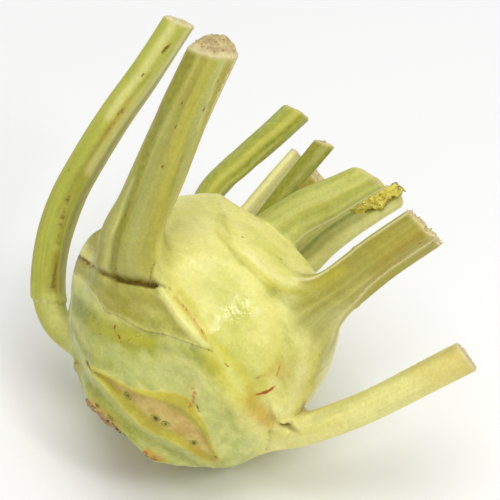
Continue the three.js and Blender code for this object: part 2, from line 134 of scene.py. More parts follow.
creases = {
    # the shield under the big front stalk, its thick right-hand lip, border and torn foot
    "collarLip": crease(-0.5, 0.9, (-51, 27), (-40, 16), (-29, 5), (-21, -3.5), (-15, -6), (-9, -8),
        (-3, -9.5), (3, -11), (9, -12.5), step=-1.5, reach=15),
    "collarBead": crease(1.75, 1.8, (-46, 20), (-36, 9), (-29, 0), (-22, -6), (-15, -9), (-8, -11),
        (-2, -11.7), (4, -12), late=True),
    "collarBorder": crease(0.35, 0.5, (-76, -17), (-57, -20), (-50, -21.5), (-45, -24), (-41, -25.5),
        (-35, -24.5), (-29, -24), (-19, -23), (-10, -19), (-3, -16.5), (3, -14.5), (9, -12.5), step=0.6,
        reach=9),
    "crack": crease(-1.3, 0.6, (-80, -9.5), (-70, -11), (-60, -12), (-50, -12.7), (-43, -12.1),
        (-36, -10.7), (-30, -8.3), (-25, -6.1), (-22, -5.1), step=0.9, reach=5, late=True),
    "crackMouth": crease(-3, 1, (-52, -12.9), (-43, -12.3), (-36, -10.9), (-30, -8.5), (-25, -6.3),
        (-22.5, -5.3), late=True, taper=3),
    "split": crease(-1.5, 0.5, (-28.5, 0), (-28.5, -3), (-27.5, -6.5), late=True, taper=5),
    # the lip below the right-hand stalk
    "rightLip": crease(-0.6, 0.9, (-26, 29), (-18, 26.5), (-8, 24), (0, 23), (8, 22), (17, 25), (22, 28),
        (25, 33), step=1.5, reach=13),
    "rightBead": crease(0.6, 1.6, (-8, 26.5), (0, 25.5), (8, 25), (15, 27.5), (20, 31)),
    "domeLine": crease(-0.35, 0.9, (-46, 50), (-40, 44), (-32, 38), (-27, 32), (-22, 28), step=0.48,
        reach=10),
    "domeRidge": crease(0.7, 2, (-60, 53), (-45, 46), (-33, 40), (-26, 35), (-20, 30)),
    "valley": crease(-1.3, 3.2, (4, -8), (13, -10), (24, -11), (32, -13), (42, -15), (51, -18)),
    "lowerRoll": crease(0.8, 3, (16, -27), (27, -24), (37, -22), (57, -18)),
    # soft flutes between the right-hand stalk and the low one
    "flute1": crease(0.3, 2.6, (11, 16), (21, 9), (32, 2), (42, -4)),
    "flute2": crease(-0.55, 2, (27, 23), (39, 18), (49, 12), (58, 4), (60, -5)),
    "flute3": crease(0.75, 2.2, (36, 24), (47, 20), (57, 13), (66, 7), (66, -2)),
    # the lobe that overhangs the low stalk's foot, the pocket beneath it and the foot's rolled rim
    "lobeEdge": crease(0.2, 0.75, (45, -9.5), (50, -12), (54, -13), (57, -12.9), (60, -12), (62, -10.4),
        (62.8, -8), (63.8, -5), (66, -2.2), (70, 1.4), step=2.1, reach=9, late=True, taper=5,
        skinOnly=True),
    "pocket": crease(-2.2, 0.9, (59.4, -12.9), (62, -11.7), (63.4, -9.6), (64, -7), (65.2, -4.2), (68, -1),
        late=True, taper=3),
    "lowBead": crease(1.7, 2.1, (61.8, -20.4), (59.6, -17.4), (59.8, -15.4), (62, -14.4), (65.6, -13),
        (69, -11), late=True, taper=4),
    "lowSeam": crease(-0.8, 0.5, (58, -15.6), (60, -17.4), (64, -18.8), (68, -20.6), (72, -22.4), (77, -24),
        step=0.5, reach=4, late=True, taper=5),
    # the long scar of the oldest leaf and the fold under it
    "scarTop": crease(0.3, 1.5, (-50, -51.5), (-40, -50.5), (-27, -49.3), (-15, -48), (-8.5, -46.3),
        (1, -43), (10, -39.5), (18, -37.8), (26, -37.6), (34, -38.4), (42, -40), (55, -41), (68, -39.5),
        (80, -40), step=1.6, reach=9, taper=12),
    "scarFoot": crease(0.9, 1, (-50, -52), (-33, -54), (-20, -56.3), (-8, -58.3), (10, -59), (22, -57),
        (34, -54), (50, -49.5), (67, -46), (80, -43), step=-1, reach=8, taper=12),
    "fold": crease(4.2, 5, (-112, -66), (-92, -65), (-76, -64), (-60, -65), (-40, -67), (-16, -68.5),
        (20, -69), (46, -67.5), (66, -63), (84, -56), (98, -48), taper=2.4),
    "foldCrease": crease(-0.45, 1.6, (-70, -60), (-40, -61.5), (-10, -63), (20, -63.5), (50, -61),
        (75, -54)),
}

# shields below the stalks on the far side, and older scars low down there
farShields = [(178, 8, 1), (128, 38, 0.8)]
farScars = [(155, -58, 46, 8), (-132, -57, 24, 7)]


def addFarCreases():
    steps = [(52, 17), (34, 3), (20, -8), (10, -14), (0, -19)]
    for index, (azimuth, latitude, size) in enumerate(farShields):
        for sign in (1, -1):
            line = [
                (azimuth + sign * turn * size / math.cos(math.radians(latitude + drop * size)),
                 latitude + drop * size)
                for turn, drop in steps
            ]
            creases[f"shield{index}{sign}"] = crease(0.4, 1.0, *line, step=1.5 * sign, reach=13)
    for index, (azimuth, latitude, halfTurn, height) in enumerate(farScars):
        for sign in (1, -1):
            line = [
                (azimuth + t * halfTurn, latitude + 5 * t * t + sign * height * (1 - t * t))
                for t in (-1, -0.6, 0, 0.6, 1)
            ]
            creases[f"scar{index}{sign}"] = (
                crease(0.5, 1.0, *line, step=1.2, reach=9) if sign > 0
                else crease(0.9, 1.2, *line, step=-0.8, reach=8))


def plainRadius(directions):
    x, y, z = directions.T
    across = np.hypot(x / bulb["front"], y / bulb["side"])
    up = z > 0
    along = np.abs(z) / np.where(up, bulb["crownHeight"], bulb["rootDepth"])
    power = np.where(up, bulb["crownFullness"], bulb["rootFullness"])
    return (across**power + along**power) ** (-1 / power)


def onPlainSkin(line):
    directions = onSkin(*np.array(line, float).T)
    return directions * plainRadius(directions)[:, None]


def placeOnLine(points, path):
    # distance to a path on the skin, the side of it, the share along it, the nearest point
    best = np.full(len(points), np.inf)
    side = np.zeros(len(points))
    along = np.zeros(len(points))
    near = np.zeros((len(points), 3))
    last = len(path) - 1
    for i in range(last):
        delta = path[i + 1] - path[i]
        t = np.clip((points - path[i]) @ delta / (delta @ delta), 0, 1)
        foot = path[i] + t[:, None] * delta
        distance = np.linalg.norm(points - foot, axis=1)
        closer = distance < best
        best[closer] = distance[closer]
        along[closer] = (i + t[closer]) / last
        near[closer] = foot[closer]
        side[closer] = np.sign(np.einsum("ij,ij->i", np.cross(foot[closer], delta), points[closer]))
    return best, side, along, near


def drawCreases():
    for crease in creases.values():
        crease["path"] = smoothCurve(onPlainSkin(crease["line"]), 6)


def closeTo(points, path, reach):
    # the points within reach of a path's surroundings, to spare the others
    middle = path.mean(axis=0)
    return np.linalg.norm(points - middle, axis=1) < reach + np.linalg.norm(path - middle, axis=1).max()


def creaseLift(crease, points):
    lift = np.zeros(len(points))
    chosen = closeTo(points, crease["path"], max(crease["reach"], 3.5 * crease["width"]))
    distance, side, along, _ = placeOnLine(points[chosen], crease["path"])
    taper = smoothRise(along * crease.get("taper", 8)) * smoothRise((1 - along) * crease.get("taper", 8))
    ridge = crease["ridge"] * bell(distance / crease["width"])
    stepSide = side * (1 if crease["step"] >= 0 else -1)
    high = smoothRise(1 + stepSide * distance / crease["width"])
    fade = smoothRise(1 - distance / crease["reach"])
    lift[chosen] = taper * (ridge + abs(crease["step"]) * high * fade)
    return lift


broadLumps = Lumps(19, 0.26)
fineLumps = Lumps(6, 0.035)


def skinRadiusOf(directions):
    radius = plainRadius(directions)
    points = directions * radius[:, None]
    for azimuth, latitude, height, spread in lobes:
        angle = np.degrees(np.arccos(np.clip(directions @ onSkin(azimuth, latitude), -1, 1)))
        radius = radius + height * bell(angle / spread)
    for crease in creases.values():
        if not crease.get("late"):
            radius = radius + creaseLift(crease, points)
    radius = radius + broadLumps.at(points) + fineLumps.at(points)
    x, y, z = directions.T
    across = radius * np.hypot(x, y) / bulb["bowlWidth"]
    shoulder = (bulb["shoulder"] - bulb["bowl"] * np.exp(-across * across)) / np.maximum(z, 0.5)
    softer = radius - bulb["edge"] * np.logaddexp(0, (radius - shoulder) / bulb["edge"])
    return np.where(z > 0.5, softer, radius)


addFarCreases()
drawCreases()
azimuths = np.arange(-180, 180.001, bulb["gridStep"])
latitudes = np.arange(-90, 90.001, bulb["gridStep"])
mapAzimuths, mapLatitudes = np.meshgrid(azimuths, latitudes, indexing="ij")
skinMap = skinRadiusOf(onSkin(mapAzimuths.ravel(), mapLatitudes.ravel())).reshape(mapAzimuths.shape)
print("skin mapped", skinMap.shape)


def skinRadius(directions):
    # bilinear look-up in the map of the skin
    x, y, z = directions.T
    u = (np.degrees(np.arctan2(y, x)) + 180) / bulb["gridStep"]
    v = (np.degrees(np.arcsin(np.clip(z, -1, 1))) + 90) / bulb["gridStep"]
    i = np.clip(u.astype(int), 0, len(azimuths) - 2)
    j = np.clip(v.astype(int), 0, len(latitudes) - 2)
    s, t = np.clip(u - i, 0, 1), np.clip(v - j, 0, 1)
    return (
        skinMap[i, j] * (1 - s) * (1 - t) + skinMap[i + 1, j] * s * (1 - t)
        + skinMap[i, j + 1] * (1 - s) * t + skinMap[i + 1, j + 1] * s * t
    )


def lateLift(directions, onStalk=False):
    # what runs over the skin and, but for the lobe, over the feet of the stalks alike
    points = directions * plainRadius(directions)[:, None]
    late = [crease for crease in creases.values()
            if crease.get("late") and not (onStalk and crease.get("skinOnly"))]
    return sum(creaseLift(crease, points) for crease in late)


def heightOverSkin(points):
    length = np.linalg.norm(points, axis=1)
    return length - skinRadius(points / length[:, None])


# the leaf stalks' courses

stalkForm = {
    "leafTurn": 137.5, "firstLeaf": 20, "sides": 88, "ringStep": 0.75,
    "channel": 0.16, "marginRib": 0.1, "lowerRib": 0.07, "lowFoot": 0.07,
}

def rib(lift, width, *line):
    # points of its line as (millimetres along, degrees round)
    return dict(line=line, lift=lift, width=width)


# route as (out, up, side) from the stem's middle, out being the way the leaf points
stalks = {
    "stalk_1": dict(
        turn=1, slot="stalk_pale", dry=0, fibre=0.4, rough=0.12,
        ring=dict(at=31.5, tilt=-2.5, lift=0.9, fade=12), wide=(6.4, 7.7, 7.6), thick=0.84, foot=7,
        cut=(1.2, 0), crown=0.6,
        ribs=[
            rib(-0.14, 2, (38, -12), (60, -8), (100, 0), (150, 0)),
            rib(0.12, 1.8, (38, 40), (70, 44), (150, 50)),
        ],
        route=[(25, -22, -8.5), (36, -25, -9), (45, -25, -8), (52.5, -21.5, -5.5), (58.5, -14.5, -2),
            (64.5, -2.5, 3), (68.5, 11.5, 7), (69.5, 25, 11), (69.5, 42, 16), (68, 59, 21.5), (66, 79, 30)],
    ),
    "stalk_2": dict(
        turn=2, slot="stalk_pale", shared=True, dry=0.35, fibre=0.3, rough=0.2, wide=(7.7, 7.75, 7.75),
        thick=0.84, foot=5, cut=(-0.8, 0), crown=0.7,
        ribs=[
            rib(-0.3, 1.5, (44, 176), (70, 178), (104, 178)),
            rib(0.25, 1.3, (70, 128), (104, 128)),
        ],
        route=[(29, -12, 2), (36.5, -10.5, -19), (40, -5.5, -27), (43, 1, -32.5), (47, 10.5, -39),
            (50, 20, -45), (53, 30, -50.5), (57, 42, -56)],
    ),
    "stalk_3": dict(
        turn=3, slot="stalk_olive", shared=True, dry=0.9, fibre=0.4, rough=0.5, rimRough=0.3,
        wide=(14.5, 8.65, 7.9), thick=0.8, foot=13, cut=(1, 2.2), crown=5.5,
        ribs=[
            rib(-0.5, 3.2, (66, -134), (48, -124), (38, -119), (28, -110), (20, -100)),
            rib(0.15, 2.6, (66, -146), (48, -140), (38, -136), (26, -128)),
            rib(0.15, 3, (110, -100), (70, -100), (48, -96), (32, -84), (20, -72)),
            rib(-0.3, 1.4, (110, -46), (84, -46), (58, -34), (40, -18), (24, -18)),
            rib(0.5, 1.4, (110, -6), (84, -8), (66, 4), (52, 14), (40, 18)),
            rib(-0.35, 1.1, (110, -22), (84, -24), (66, -12), (50, -2)),
        ],
        route=[(28, -2, -4), (41, -1, -8), (51, 2, -9), (59.5, 10, -7.5), (69.5, 22, -5.5),
            (82, 38.5, -3.5), (94, 55, -1)],
    ),
    "stalk_4": dict(
        turn=4, slot="stalk_green", dry=0.6, fibre=0.4, rough=0.2, wide=(8, 5, 3.6), thick=0.8, foot=6,
        cut=(-1, 0), crown=0.5,
        route=[(30, 12, 0), (41, 24, -1), (42, 36, -1), (38, 49, -1), (32, 61, -1), (25, 73, -1.5)],
    ),
    "stalk_5": dict(
        turn=5, slot="stalk_olive", dry=0.45, fibre=0.5, rough=0.5, rimRough=0.8, wide=(13, 8.5, 8.4),
        thick=0.78, foot=12, cut=(-1.6, 0), crown=0.8,
        ribs=[
            rib(-0.45, 2.2, (26, -150), (44, -152), (66, -152)),
            rib(0.35, 1.5, (20, -178), (40, 178), (66, 178)),
            rib(0.3, 1.8, (24, -104), (44, -104), (66, -104)),
            rib(-0.3, 1.4, (20, -72), (44, -74), (66, -74)),
            rib(1.2, 4.5, (13, -54), (20, -64), (28, -80)),
        ],
        route=[(29, 14, -3), (35.5, 22.5, -9.5), (40.5, 29, -13), (45, 37, -15.5), (50, 48, -18),
            (57.5, 62.1, -20.8)],
    ),
    "stalk_6": dict(
        turn=6, slot="stalk_green", dry=0.6, fibre=0.45, rough=0.15, wide=(6.4, 7, 7.6), thick=0.8, foot=3,
        cut=(1.8, 0), crown=0.4,
        ribs=[
            rib(-0.5, 1.3, (14, 14), (34, 14), (62, 20)),
            rib(0.3, 1.1, (14, 38), (34, 40), (62, 46)),
            rib(-0.35, 1.5, (14, -28), (34, -30), (62, -22)),
        ],
        route=[(20, 26, -10.5), (25.5, 38, -11.5), (25.5, 48.5, -12.5), (24.2, 58, -12.5), (22.4, 69, -13),
            (20.8, 81.5, -13.5)],
    ),
    "stalk_7": dict(
        turn=7, slot="stalk_green", dry=0.4, fibre=0.25, rough=0.2, wide=(9.5, 7.6, 6), thick=0.6, foot=2,
        cut=(1, 0), crown=0.4,
        route=[(13, 29, -2), (9, 40.5, -7), (8.2, 50.5, -9.3), (9, 60, -11.8), (11, 69, -14.3),
            (13.2, 78.5, -17)],
    ),
    "stalk_8": dict(
        turn=8, slot="stalk_pale", dry=0.4, fibre=0.2, rough=0.2, lip=1.7, wide=(10, 7.2, 5.7), thick=0.86,
        foot=1.6, cut=(-1, 3.2), crown=0.6,
        ribs=[
            rib(-0.4, 2.2, (12, -150), (30, -146), (54, -140)),
            rib(0.35, 1.6, (12, -112), (30, -110), (54, -104)),
        ],
        route=[(11, 30, -1.5), (19.5, 40, -1), (21.5, 48.5, 1), (21.5, 58, 5), (20.5, 72, 10.5)],
    ),
    "stalk_9": dict(
        turn=9, slot="stalk_pale", dry=0.3, fibre=0.25, rough=0.15, wide=(4.4, 3.1, 2.7), thick=0.8,
        foot=1.4, cut=(-0.6, 0), crown=0.3,
        route=[(14, 28, 1), (17, 40, 2), (17, 48, 2.5), (15.5, 58, 4), (13.5, 70, 5.5)],
    ),
    "stalk_10": dict(
        turn=11, slot="stalk_green", dry=0.8, fibre=0.5, rough=0.15, wide=(4.6, 3.4, 3.9), thick=0.78,
        foot=1.4, cut=(1.4, 0), crown=0.3,
        route=[(4, 28, -2), (7, 42, -2.5), (8, 54, -2.5), (8, 65, -2.5), (8, 76.5, -2.5)],
    ),
}


def leafAzimuth(turn):
    return math.radians(stalkForm["firstLeaf"] - stalkForm["leafTurn"] * turn)


def sectionOutline(thick):
    # the outline's radius by polar angle: a channel above, a broad ribbed face below
    angle = np.linspace(-np.pi, np.pi, 721)
    x, y = np.cos(angle), np.sin(angle)

    def bump(middle, width):
        return bell((np.abs(x) - middle) / width)

    upper = 0.8 * y - stalkForm["channel"] * bump(0, 0.45) + stalkForm["marginRib"] * bump(0.86, 0.14)
    face = 1 + stalkForm["lowerRib"] * (bump(0.62, 0.2) - bump(0, 0.35))
    x = np.where(y > 0, x, x * face)
    y = np.where(y > 0, upper, y * face) * thick
    polar = np.unwrap(np.arctan2(y, x))
    return polar, np.hypot(x, y)


def drawStalk(stalk):
    azimuth = leafAzimuth(stalk["turn"])
    out = np.array([math.cos(azimuth), math.sin(azimuth), 0])
    side = np.array([-math.sin(azimuth), math.cos(azimuth), 0])
    up = np.array([0, 0, 1.0])
    route = [o * out + u * up + s * side for o, u, s in stalk["route"]]
    dense = smoothCurve(route, 40)
    lengths = np.concatenate([[0], np.cumsum(np.linalg.norm(np.diff(dense, axis=0), axis=1))])
    count = int(lengths[-1] / 0.5)
    at = np.linspace(0, lengths[-1], count)
    centre = np.stack([np.interp(at, lengths, dense[:, k]) for k in range(3)], axis=1)
    tangent = unit(np.gradient(centre, axis=0))
    inward = unit(up - out)
    upper = unit(inward - (tangent @ inward)[:, None] * tangent)
    stalk.update(
        length=lengths[-1], at=at, centre=centre, tangent=tangent, upper=upper,
        across=np.cross(upper, tangent), outline=sectionOutline(stalk["thick"]),
    )


def halfWidth(stalk, share):
    foot, middle, end = stalk["wide"]
    low = foot + (middle - foot) * smoothRise(share / 0.45)
    return np.where(share < 0.45, low, middle + (end - middle) * smoothRise((share - 0.45) / 0.55))


def strokeDistance(stalk, line, along, angle):
    # from a line given as [millimetres along, degrees round], measured on the stalk's skin
    best = np.full(len(along), 1e9)
    half = halfWidth(stalk, along / stalk["length"])
    for (ma, da), (mb, db) in zip(line[:-1], line[1:]):
        t = np.clip((along - ma) / (mb - ma if abs(mb - ma) > 1e-6 else 1e-6), 0, 1)
        turn = (angle - np.radians(da + (db - da) * t) + np.pi) % (2 * np.pi) - np.pi
        best = np.minimum(best, np.hypot(along - ma - (mb - ma) * t, turn * half))
    return best


def drawRelief(stalk):
    # ribs, valleys and the torn ring of a node, kept as a map over the stalk's skin
    steps, turns = 220, 180
    share, angle = np.meshgrid(np.linspace(0, 1, steps), np.linspace(-np.pi, np.pi, turns), indexing="ij")
    share, angle = share.ravel(), angle.ravel()
    along = share * stalk["length"]
    lift = np.zeros(len(share))
    for rib in stalk.get("ribs", []):
        distance = strokeDistance(stalk, rib["line"], along, angle)
        lift += rib["lift"] * bell(distance / rib["width"])
    if "ring" in stalk:
        ring = stalk["ring"]
        edge = along - ring["at"] - ring["tilt"] * np.cos(angle - 1.2)
        lift += ring["lift"] * smoothRise(edge / 0.9 + 0.5) * np.exp(-np.maximum(edge, 0) / ring["fade"])
    stalk["relief"] = lift.reshape(steps, turns)


def reliefAt(stalk, share, angle):
    relief = stalk["relief"]
    u = np.clip(share, 0, 1) * (relief.shape[0] - 1)
    v = ((angle + np.pi) % (2 * np.pi)) / (2 * np.pi) * (relief.shape[1] - 1)
    i, j = np.minimum(u.astype(int), relief.shape[0] - 2), np.minimum(v.astype(int), relief.shape[1] - 2)
    a, b = u - i, v - j
    return (
        relief[i, j] * (1 - a) * (1 - b) + relief[i + 1, j] * a * (1 - b)
        + relief[i, j + 1] * (1 - a) * b + relief[i + 1, j + 1] * a * b
    )


def outlineRadius(stalk, share, angle):
    polar, radius = stalk["outline"]
    shifted = (angle - polar[0]) % (2 * np.pi) + polar[0]
    return halfWidth(stalk, share) * np.interp(shifted, polar, radius) + reliefAt(stalk, share, angle)


def alongStalk(stalk, share, name):
    along = share * stalk["length"]
    return np.stack([np.interp(along, stalk["at"], stalk[name][:, k]) for k in range(3)], axis=-1)


def outsideStalk(stalk, points):
    # distance outside the stalk's skin, with the share along it and the angle round it
    centre, at = stalk["centre"], stalk["at"]
    coarse = centre[::4]
    nearest = np.argmin(((points[:, None, :] - coarse[None]) ** 2).sum(axis=2), axis=1) * 4
    index = np.clip(nearest, 2, len(centre) - 3)
    share = at[index] / stalk["length"]
    for _ in range(3):
        middle = alongStalk(stalk, share, "centre")
        tangent = unit(alongStalk(stalk, share, "tangent"))
        share = np.clip(share + np.einsum("ij,ij->i", points - middle, tangent) / stalk["length"], 0, 1)
    middle = alongStalk(stalk, share, "centre")
    away = points - middle
    x = np.einsum("ij,ij->i", away, alongStalk(stalk, share, "across"))
    y = np.einsum("ij,ij->i", away, alongStalk(stalk, share, "upper"))
    angle = np.arctan2(y, x)
    return np.linalg.norm(away, axis=1) - outlineRadius(stalk, share, angle), share, angle


for stalk in stalks.values():
    drawStalk(stalk)
    drawRelief(stalk)


# meshes

def placed(name, data):
    thing = bpy.data.objects.new(name, data)
    bpy.context.scene.collection.objects.link(thing)
    return thing


def meshPiece(name, points, faces, masks=None):
    # points in the stem's frame in millimetres; masks are stored on the corners of the mesh
    mesh = bpy.data.meshes.new(name)
    mesh.from_pydata(laidDown(points).tolist(), [], [list(map(int, face)) for face in faces])
    mesh.update()
    mesh.shade_smooth()
    for key, values in (masks or {}).items():
        values = np.asarray(values, np.float32)
        kind = "FLOAT_VECTOR" if values.ndim == 2 else "FLOAT"
        attribute = mesh.attributes.new(key, kind, "POINT")
        attribute.data.foreach_set("vector" if values.ndim == 2 else "value", values.ravel())
    return placed(name, mesh)


def geodesicBall(detail):
    # a ball of equal triangles: each side of an icosahedron parted into detail strips
    golden = (1 + 5**0.5) / 2
    corners = unit(np.array([
        (-1, golden, 0), (1, golden, 0), (-1, -golden, 0), (1, -golden, 0), (0, -1, golden), (0, 1, golden),
        (0, -1, -golden), (0, 1, -golden), (golden, 0, -1), (golden, 0, 1), (-golden, 0, -1),
        (-golden, 0, 1),
    ]))
    sides = [
        (0, 11, 5), (0, 5, 1), (0, 1, 7), (0, 7, 10), (0, 10, 11), (1, 5, 9), (5, 11, 4), (11, 10, 2),
        (10, 7, 6), (7, 1, 8), (3, 9, 4), (3, 4, 2), (3, 2, 6), (3, 6, 8), (3, 8, 9), (4, 9, 5),
        (2, 4, 11), (6, 2, 10), (8, 6, 7), (9, 8, 1),
    ]
    points, faces = [], []
    steps = [(i, j) for i in range(detail + 1) for j in range(detail + 1 - i)]
    number = {step: k for k, step in enumerate(steps)}
    weights = np.array([(detail - i - j, i, j) for i, j in steps]) / detail
    strips = []
    for i in range(detail):
        for j in range(detail - i):
            strips.append((number[i, j], number[i + 1, j], number[i, j + 1]))
            if i + j < detail - 1:
                strips.append((number[i + 1, j], number[i + 1, j + 1], number[i, j + 1]))
    strips = np.array(strips)
    for k, side in enumerate(sides):
        points.append(unit(weights @ corners[list(side)]))
        faces.append(strips + k * len(steps))
    points, faces = np.concatenate(points), np.concatenate(faces)
    _, first, merged = np.unique(np.round(points, 7), axis=0, return_index=True, return_inverse=True)
    return points[first], merged.ravel()[faces]


def drawnToCreases(directions):
    # corners of the mesh are drawn onto the sharp creases, so that their edges run through them
    points = directions * plainRadius(directions)[:, None]
    best = np.full(len(points), bulb["drawn"])
    target = points.copy()
    for crease in creases.values():
        if crease["width"] > 1.3:
            continue
        chosen = np.where(closeTo(points, crease["path"], bulb["drawn"]))[0]
        distance, _, _, near = placeOnLine(points[chosen], crease["path"])
        closer = distance < best[chosen]
        best[chosen[closer]] = distance[closer]
        target[chosen[closer]] = near[closer]
    pull = 1 - np.clip(best / bulb["drawn"], 0, 1) ** 0.6
    return unit(points + (target - points) * pull[:, None])


def footRise(directions, radius):
    # the skin sweeps up to each stalk: the roots of the two distances add up to the root of the reach
    rise = np.zeros(len(directions))
    for stalk in stalks.values():
        reach = stalk["foot"]
        most = (reach**0.5 - (stalkForm["lowFoot"] * reach) ** 0.5) ** 2
        points = directions * radius[:, None]
        near = np.linalg.norm(points - stalk["centre"][0], axis=1) < 3.2 * reach + 2.2 * max(stalk["wide"])
        chosen = np.where(near)[0]
        if not len(chosen):
            continue
        gap, _, _ = outsideStalk(stalk, points[chosen])
        chosen = chosen[gap < reach]
        found = np.full(len(chosen), most)
        waiting = np.ones(len(chosen), bool)
        before = None
        levels = most * np.linspace(0, 1, 15) ** 2
        for level in levels:
            lifted = directions[chosen] * (radius[chosen] + level)[:, None]
            gap, _, _ = outsideStalk(stalk, lifted)
            value = level**0.5 + np.maximum(gap, 0) ** 0.5 - reach**0.5
            if before is not None:
                crossed = waiting & (value >= 0)
                share = -before[crossed] / np.maximum(value[crossed] - before[crossed], 1e-9)
                found[crossed] = previous + (level - previous) * np.clip(share, 0, 1)
                waiting &= ~crossed
            before, previous = value, level
        rise[chosen] = np.maximum(rise[chosen], found)
    return rise


def bulbMesh():
    directions, faces = geodesicBall(bulb["detail"])
    front = stemToRow.T @ np.array([0.1, -0.77, 0.63])
    directions = unit(directions + bulb["frontCrowding"] * front)
    directions = drawnToCreases(directions)
    return directions * wholeSkin(directions)[:, None], faces, directions


def wholeSkin(directions):
    # with the stalks' feet, the root's dish and the flat the stem rests on
    radius = skinRadius(directions)
    radius = radius + footRise(directions, radius) + lateLift(directions)
    z = np.minimum(directions[:, 2], -0.5)
    seat = -bulb["rootCut"] / z
    across = seat * np.hypot(directions[:, 0], directions[:, 1])
    dish = seat + bulb["rimRise"] * smoothRise((across - bulb["dish"]) / bulb["dishWall"])
    radius = np.where(directions[:, 2] < -0.5, np.minimum(radius, dish), radius)
    down = directions @ (stemToRow.T @ np.array([0, 0, -1.0]))
    return np.where(down > 0.5, np.minimum(radius, lying["height"] / np.maximum(down, 0.5)), radius)


cutLumps, cutGrit = Lumps(5, 0.6), Lumps(1.5, 0.16)


def stalkMesh(stalk):
    length, reach = stalk["length"], stalk["foot"]
    rings = int(length / stalkForm["ringStep"])
    sides = stalkForm["sides"]
    angles = np.arange(sides) / sides * 2 * np.pi
    share = np.repeat(np.linspace(0, 1, rings + 1), sides)
    angle = np.tile(angles, rings + 1)
    centre = alongStalk(stalk, share, "centre")
    upper, across = alongStalk(stalk, share, "upper"), alongStalk(stalk, share, "across")
    tangent = alongStalk(stalk, share, "tangent")
    ray = np.cos(angle)[:, None] * across + np.sin(angle)[:, None] * upper
    skin = outlineRadius(stalk, share, angle)
    low = stalkForm["lowFoot"] * reach
    flare = np.zeros(len(skin))
    for _ in range(14):
        height = heightOverSkin(centre + ray * (skin + flare)[:, None])
        wanted = (reach**0.5 - np.clip(height, low, reach) ** 0.5) ** 2
        flare += 0.5 * (wanted - flare)
    foot = 1 - np.clip(heightOverSkin(centre + ray * (skin + flare)[:, None]) / reach, 0, 1)
    points = centre + ray * (skin + flare + 0.03)[:, None]
    if stalk.get("shared"):
        nearFoot = foot > 0.02
        towards = unit(points[nearFoot])
        points[nearFoot] += towards * (lateLift(towards, True) * smoothRise(foot[nearFoot] * 4))[:, None]
    nearCut = smoothRise(1 - (1 - share) * length / 5)
    x, y = np.cos(angle) * skin, np.sin(angle) * skin
    half = halfWidth(stalk, share)
    slant = nearCut * (stalk["cut"][0] * y / (half * stalk["thick"]) + stalk["cut"][1] * x / half)
    points += tangent * slant[:, None]
    # the cut face: a worn rim, then rings to the middle
    torn = (cutLumps.at(points) + cutGrit.at(points)) * stalk["rough"] * stalk.get("rimRough", 1)
    points += tangent * (torn * smoothRise(1 - (1 - share) * length / 1.6))[:, None]
    rim = points[-sides:]
    middle = rim.mean(axis=0)
    normal = tangent[-1]
    capPoints, capShares = [], []
    for ring, portion in enumerate([0.985, 0.95, 0.88, 0.79, 0.7, 0.6, 0.5, 0.4, 0.3, 0.2, 0.1]):
        dome = stalk["crown"] * (1 - portion**2) + 0.25 * smoothRise((1 - portion) * 20)
        level = middle + (rim - middle) * portion
        grit = (cutLumps.at(level) + 2 * cutGrit.at(level)) * stalk["rough"] * smoothRise((1 - portion) * 9)
        capPoints.append(level + normal * (dome + grit)[:, None])
        capShares.append(np.full(sides, portion))
    capPoints.append((middle + normal * (stalk["crown"] + 0.25))[None])
    allPoints = np.concatenate([points, *capPoints, centre[:1]])
    faces = []
    total = rings + 1 + len(capPoints) - 1
    base = np.arange(sides)
    following = (base + 1) % sides
    for ring in range(total - 1):
        a, b = ring * sides, (ring + 1) * sides
        faces.append(np.stack([base + a, following + a, following + b, base + b], axis=1))
    faces = [list(f) for f in np.concatenate(faces)]
    top, bottom = total * sides, total * sides + 1
    last = (total - 1) * sides
    faces += [[last + i, last + (i + 1) % sides, top] for i in range(sides)]
    faces += [[(i + 1) % sides, i, bottom] for i in range(sides)]
    extra = len(allPoints) - len(points)
    capShare = np.concatenate([*capShares, [0, 0]])
    marks = dict(
        cutFace=np.concatenate([np.zeros(len(points)), np.ones(extra - 1), [0]]),
        rim=np.concatenate([
            smoothRise(1.2 - (1 - share) * length / stalk.get("lip", 0.9)),
            smoothRise((capShare - 0.8) / 0.15)]),
        dry=np.full(len(allPoints), stalk.get("dry", 0.3)),
    )
    stalk["cap"], stalk["capNormal"] = capPoints, normal
    return allPoints, faces, marks


# where the colours lie

def stroke(width, level, *line, **more):
    # width in millimetres, level from 0 to 1, then the points of its line
    return dict(line=line, width=width, level=level, **more)


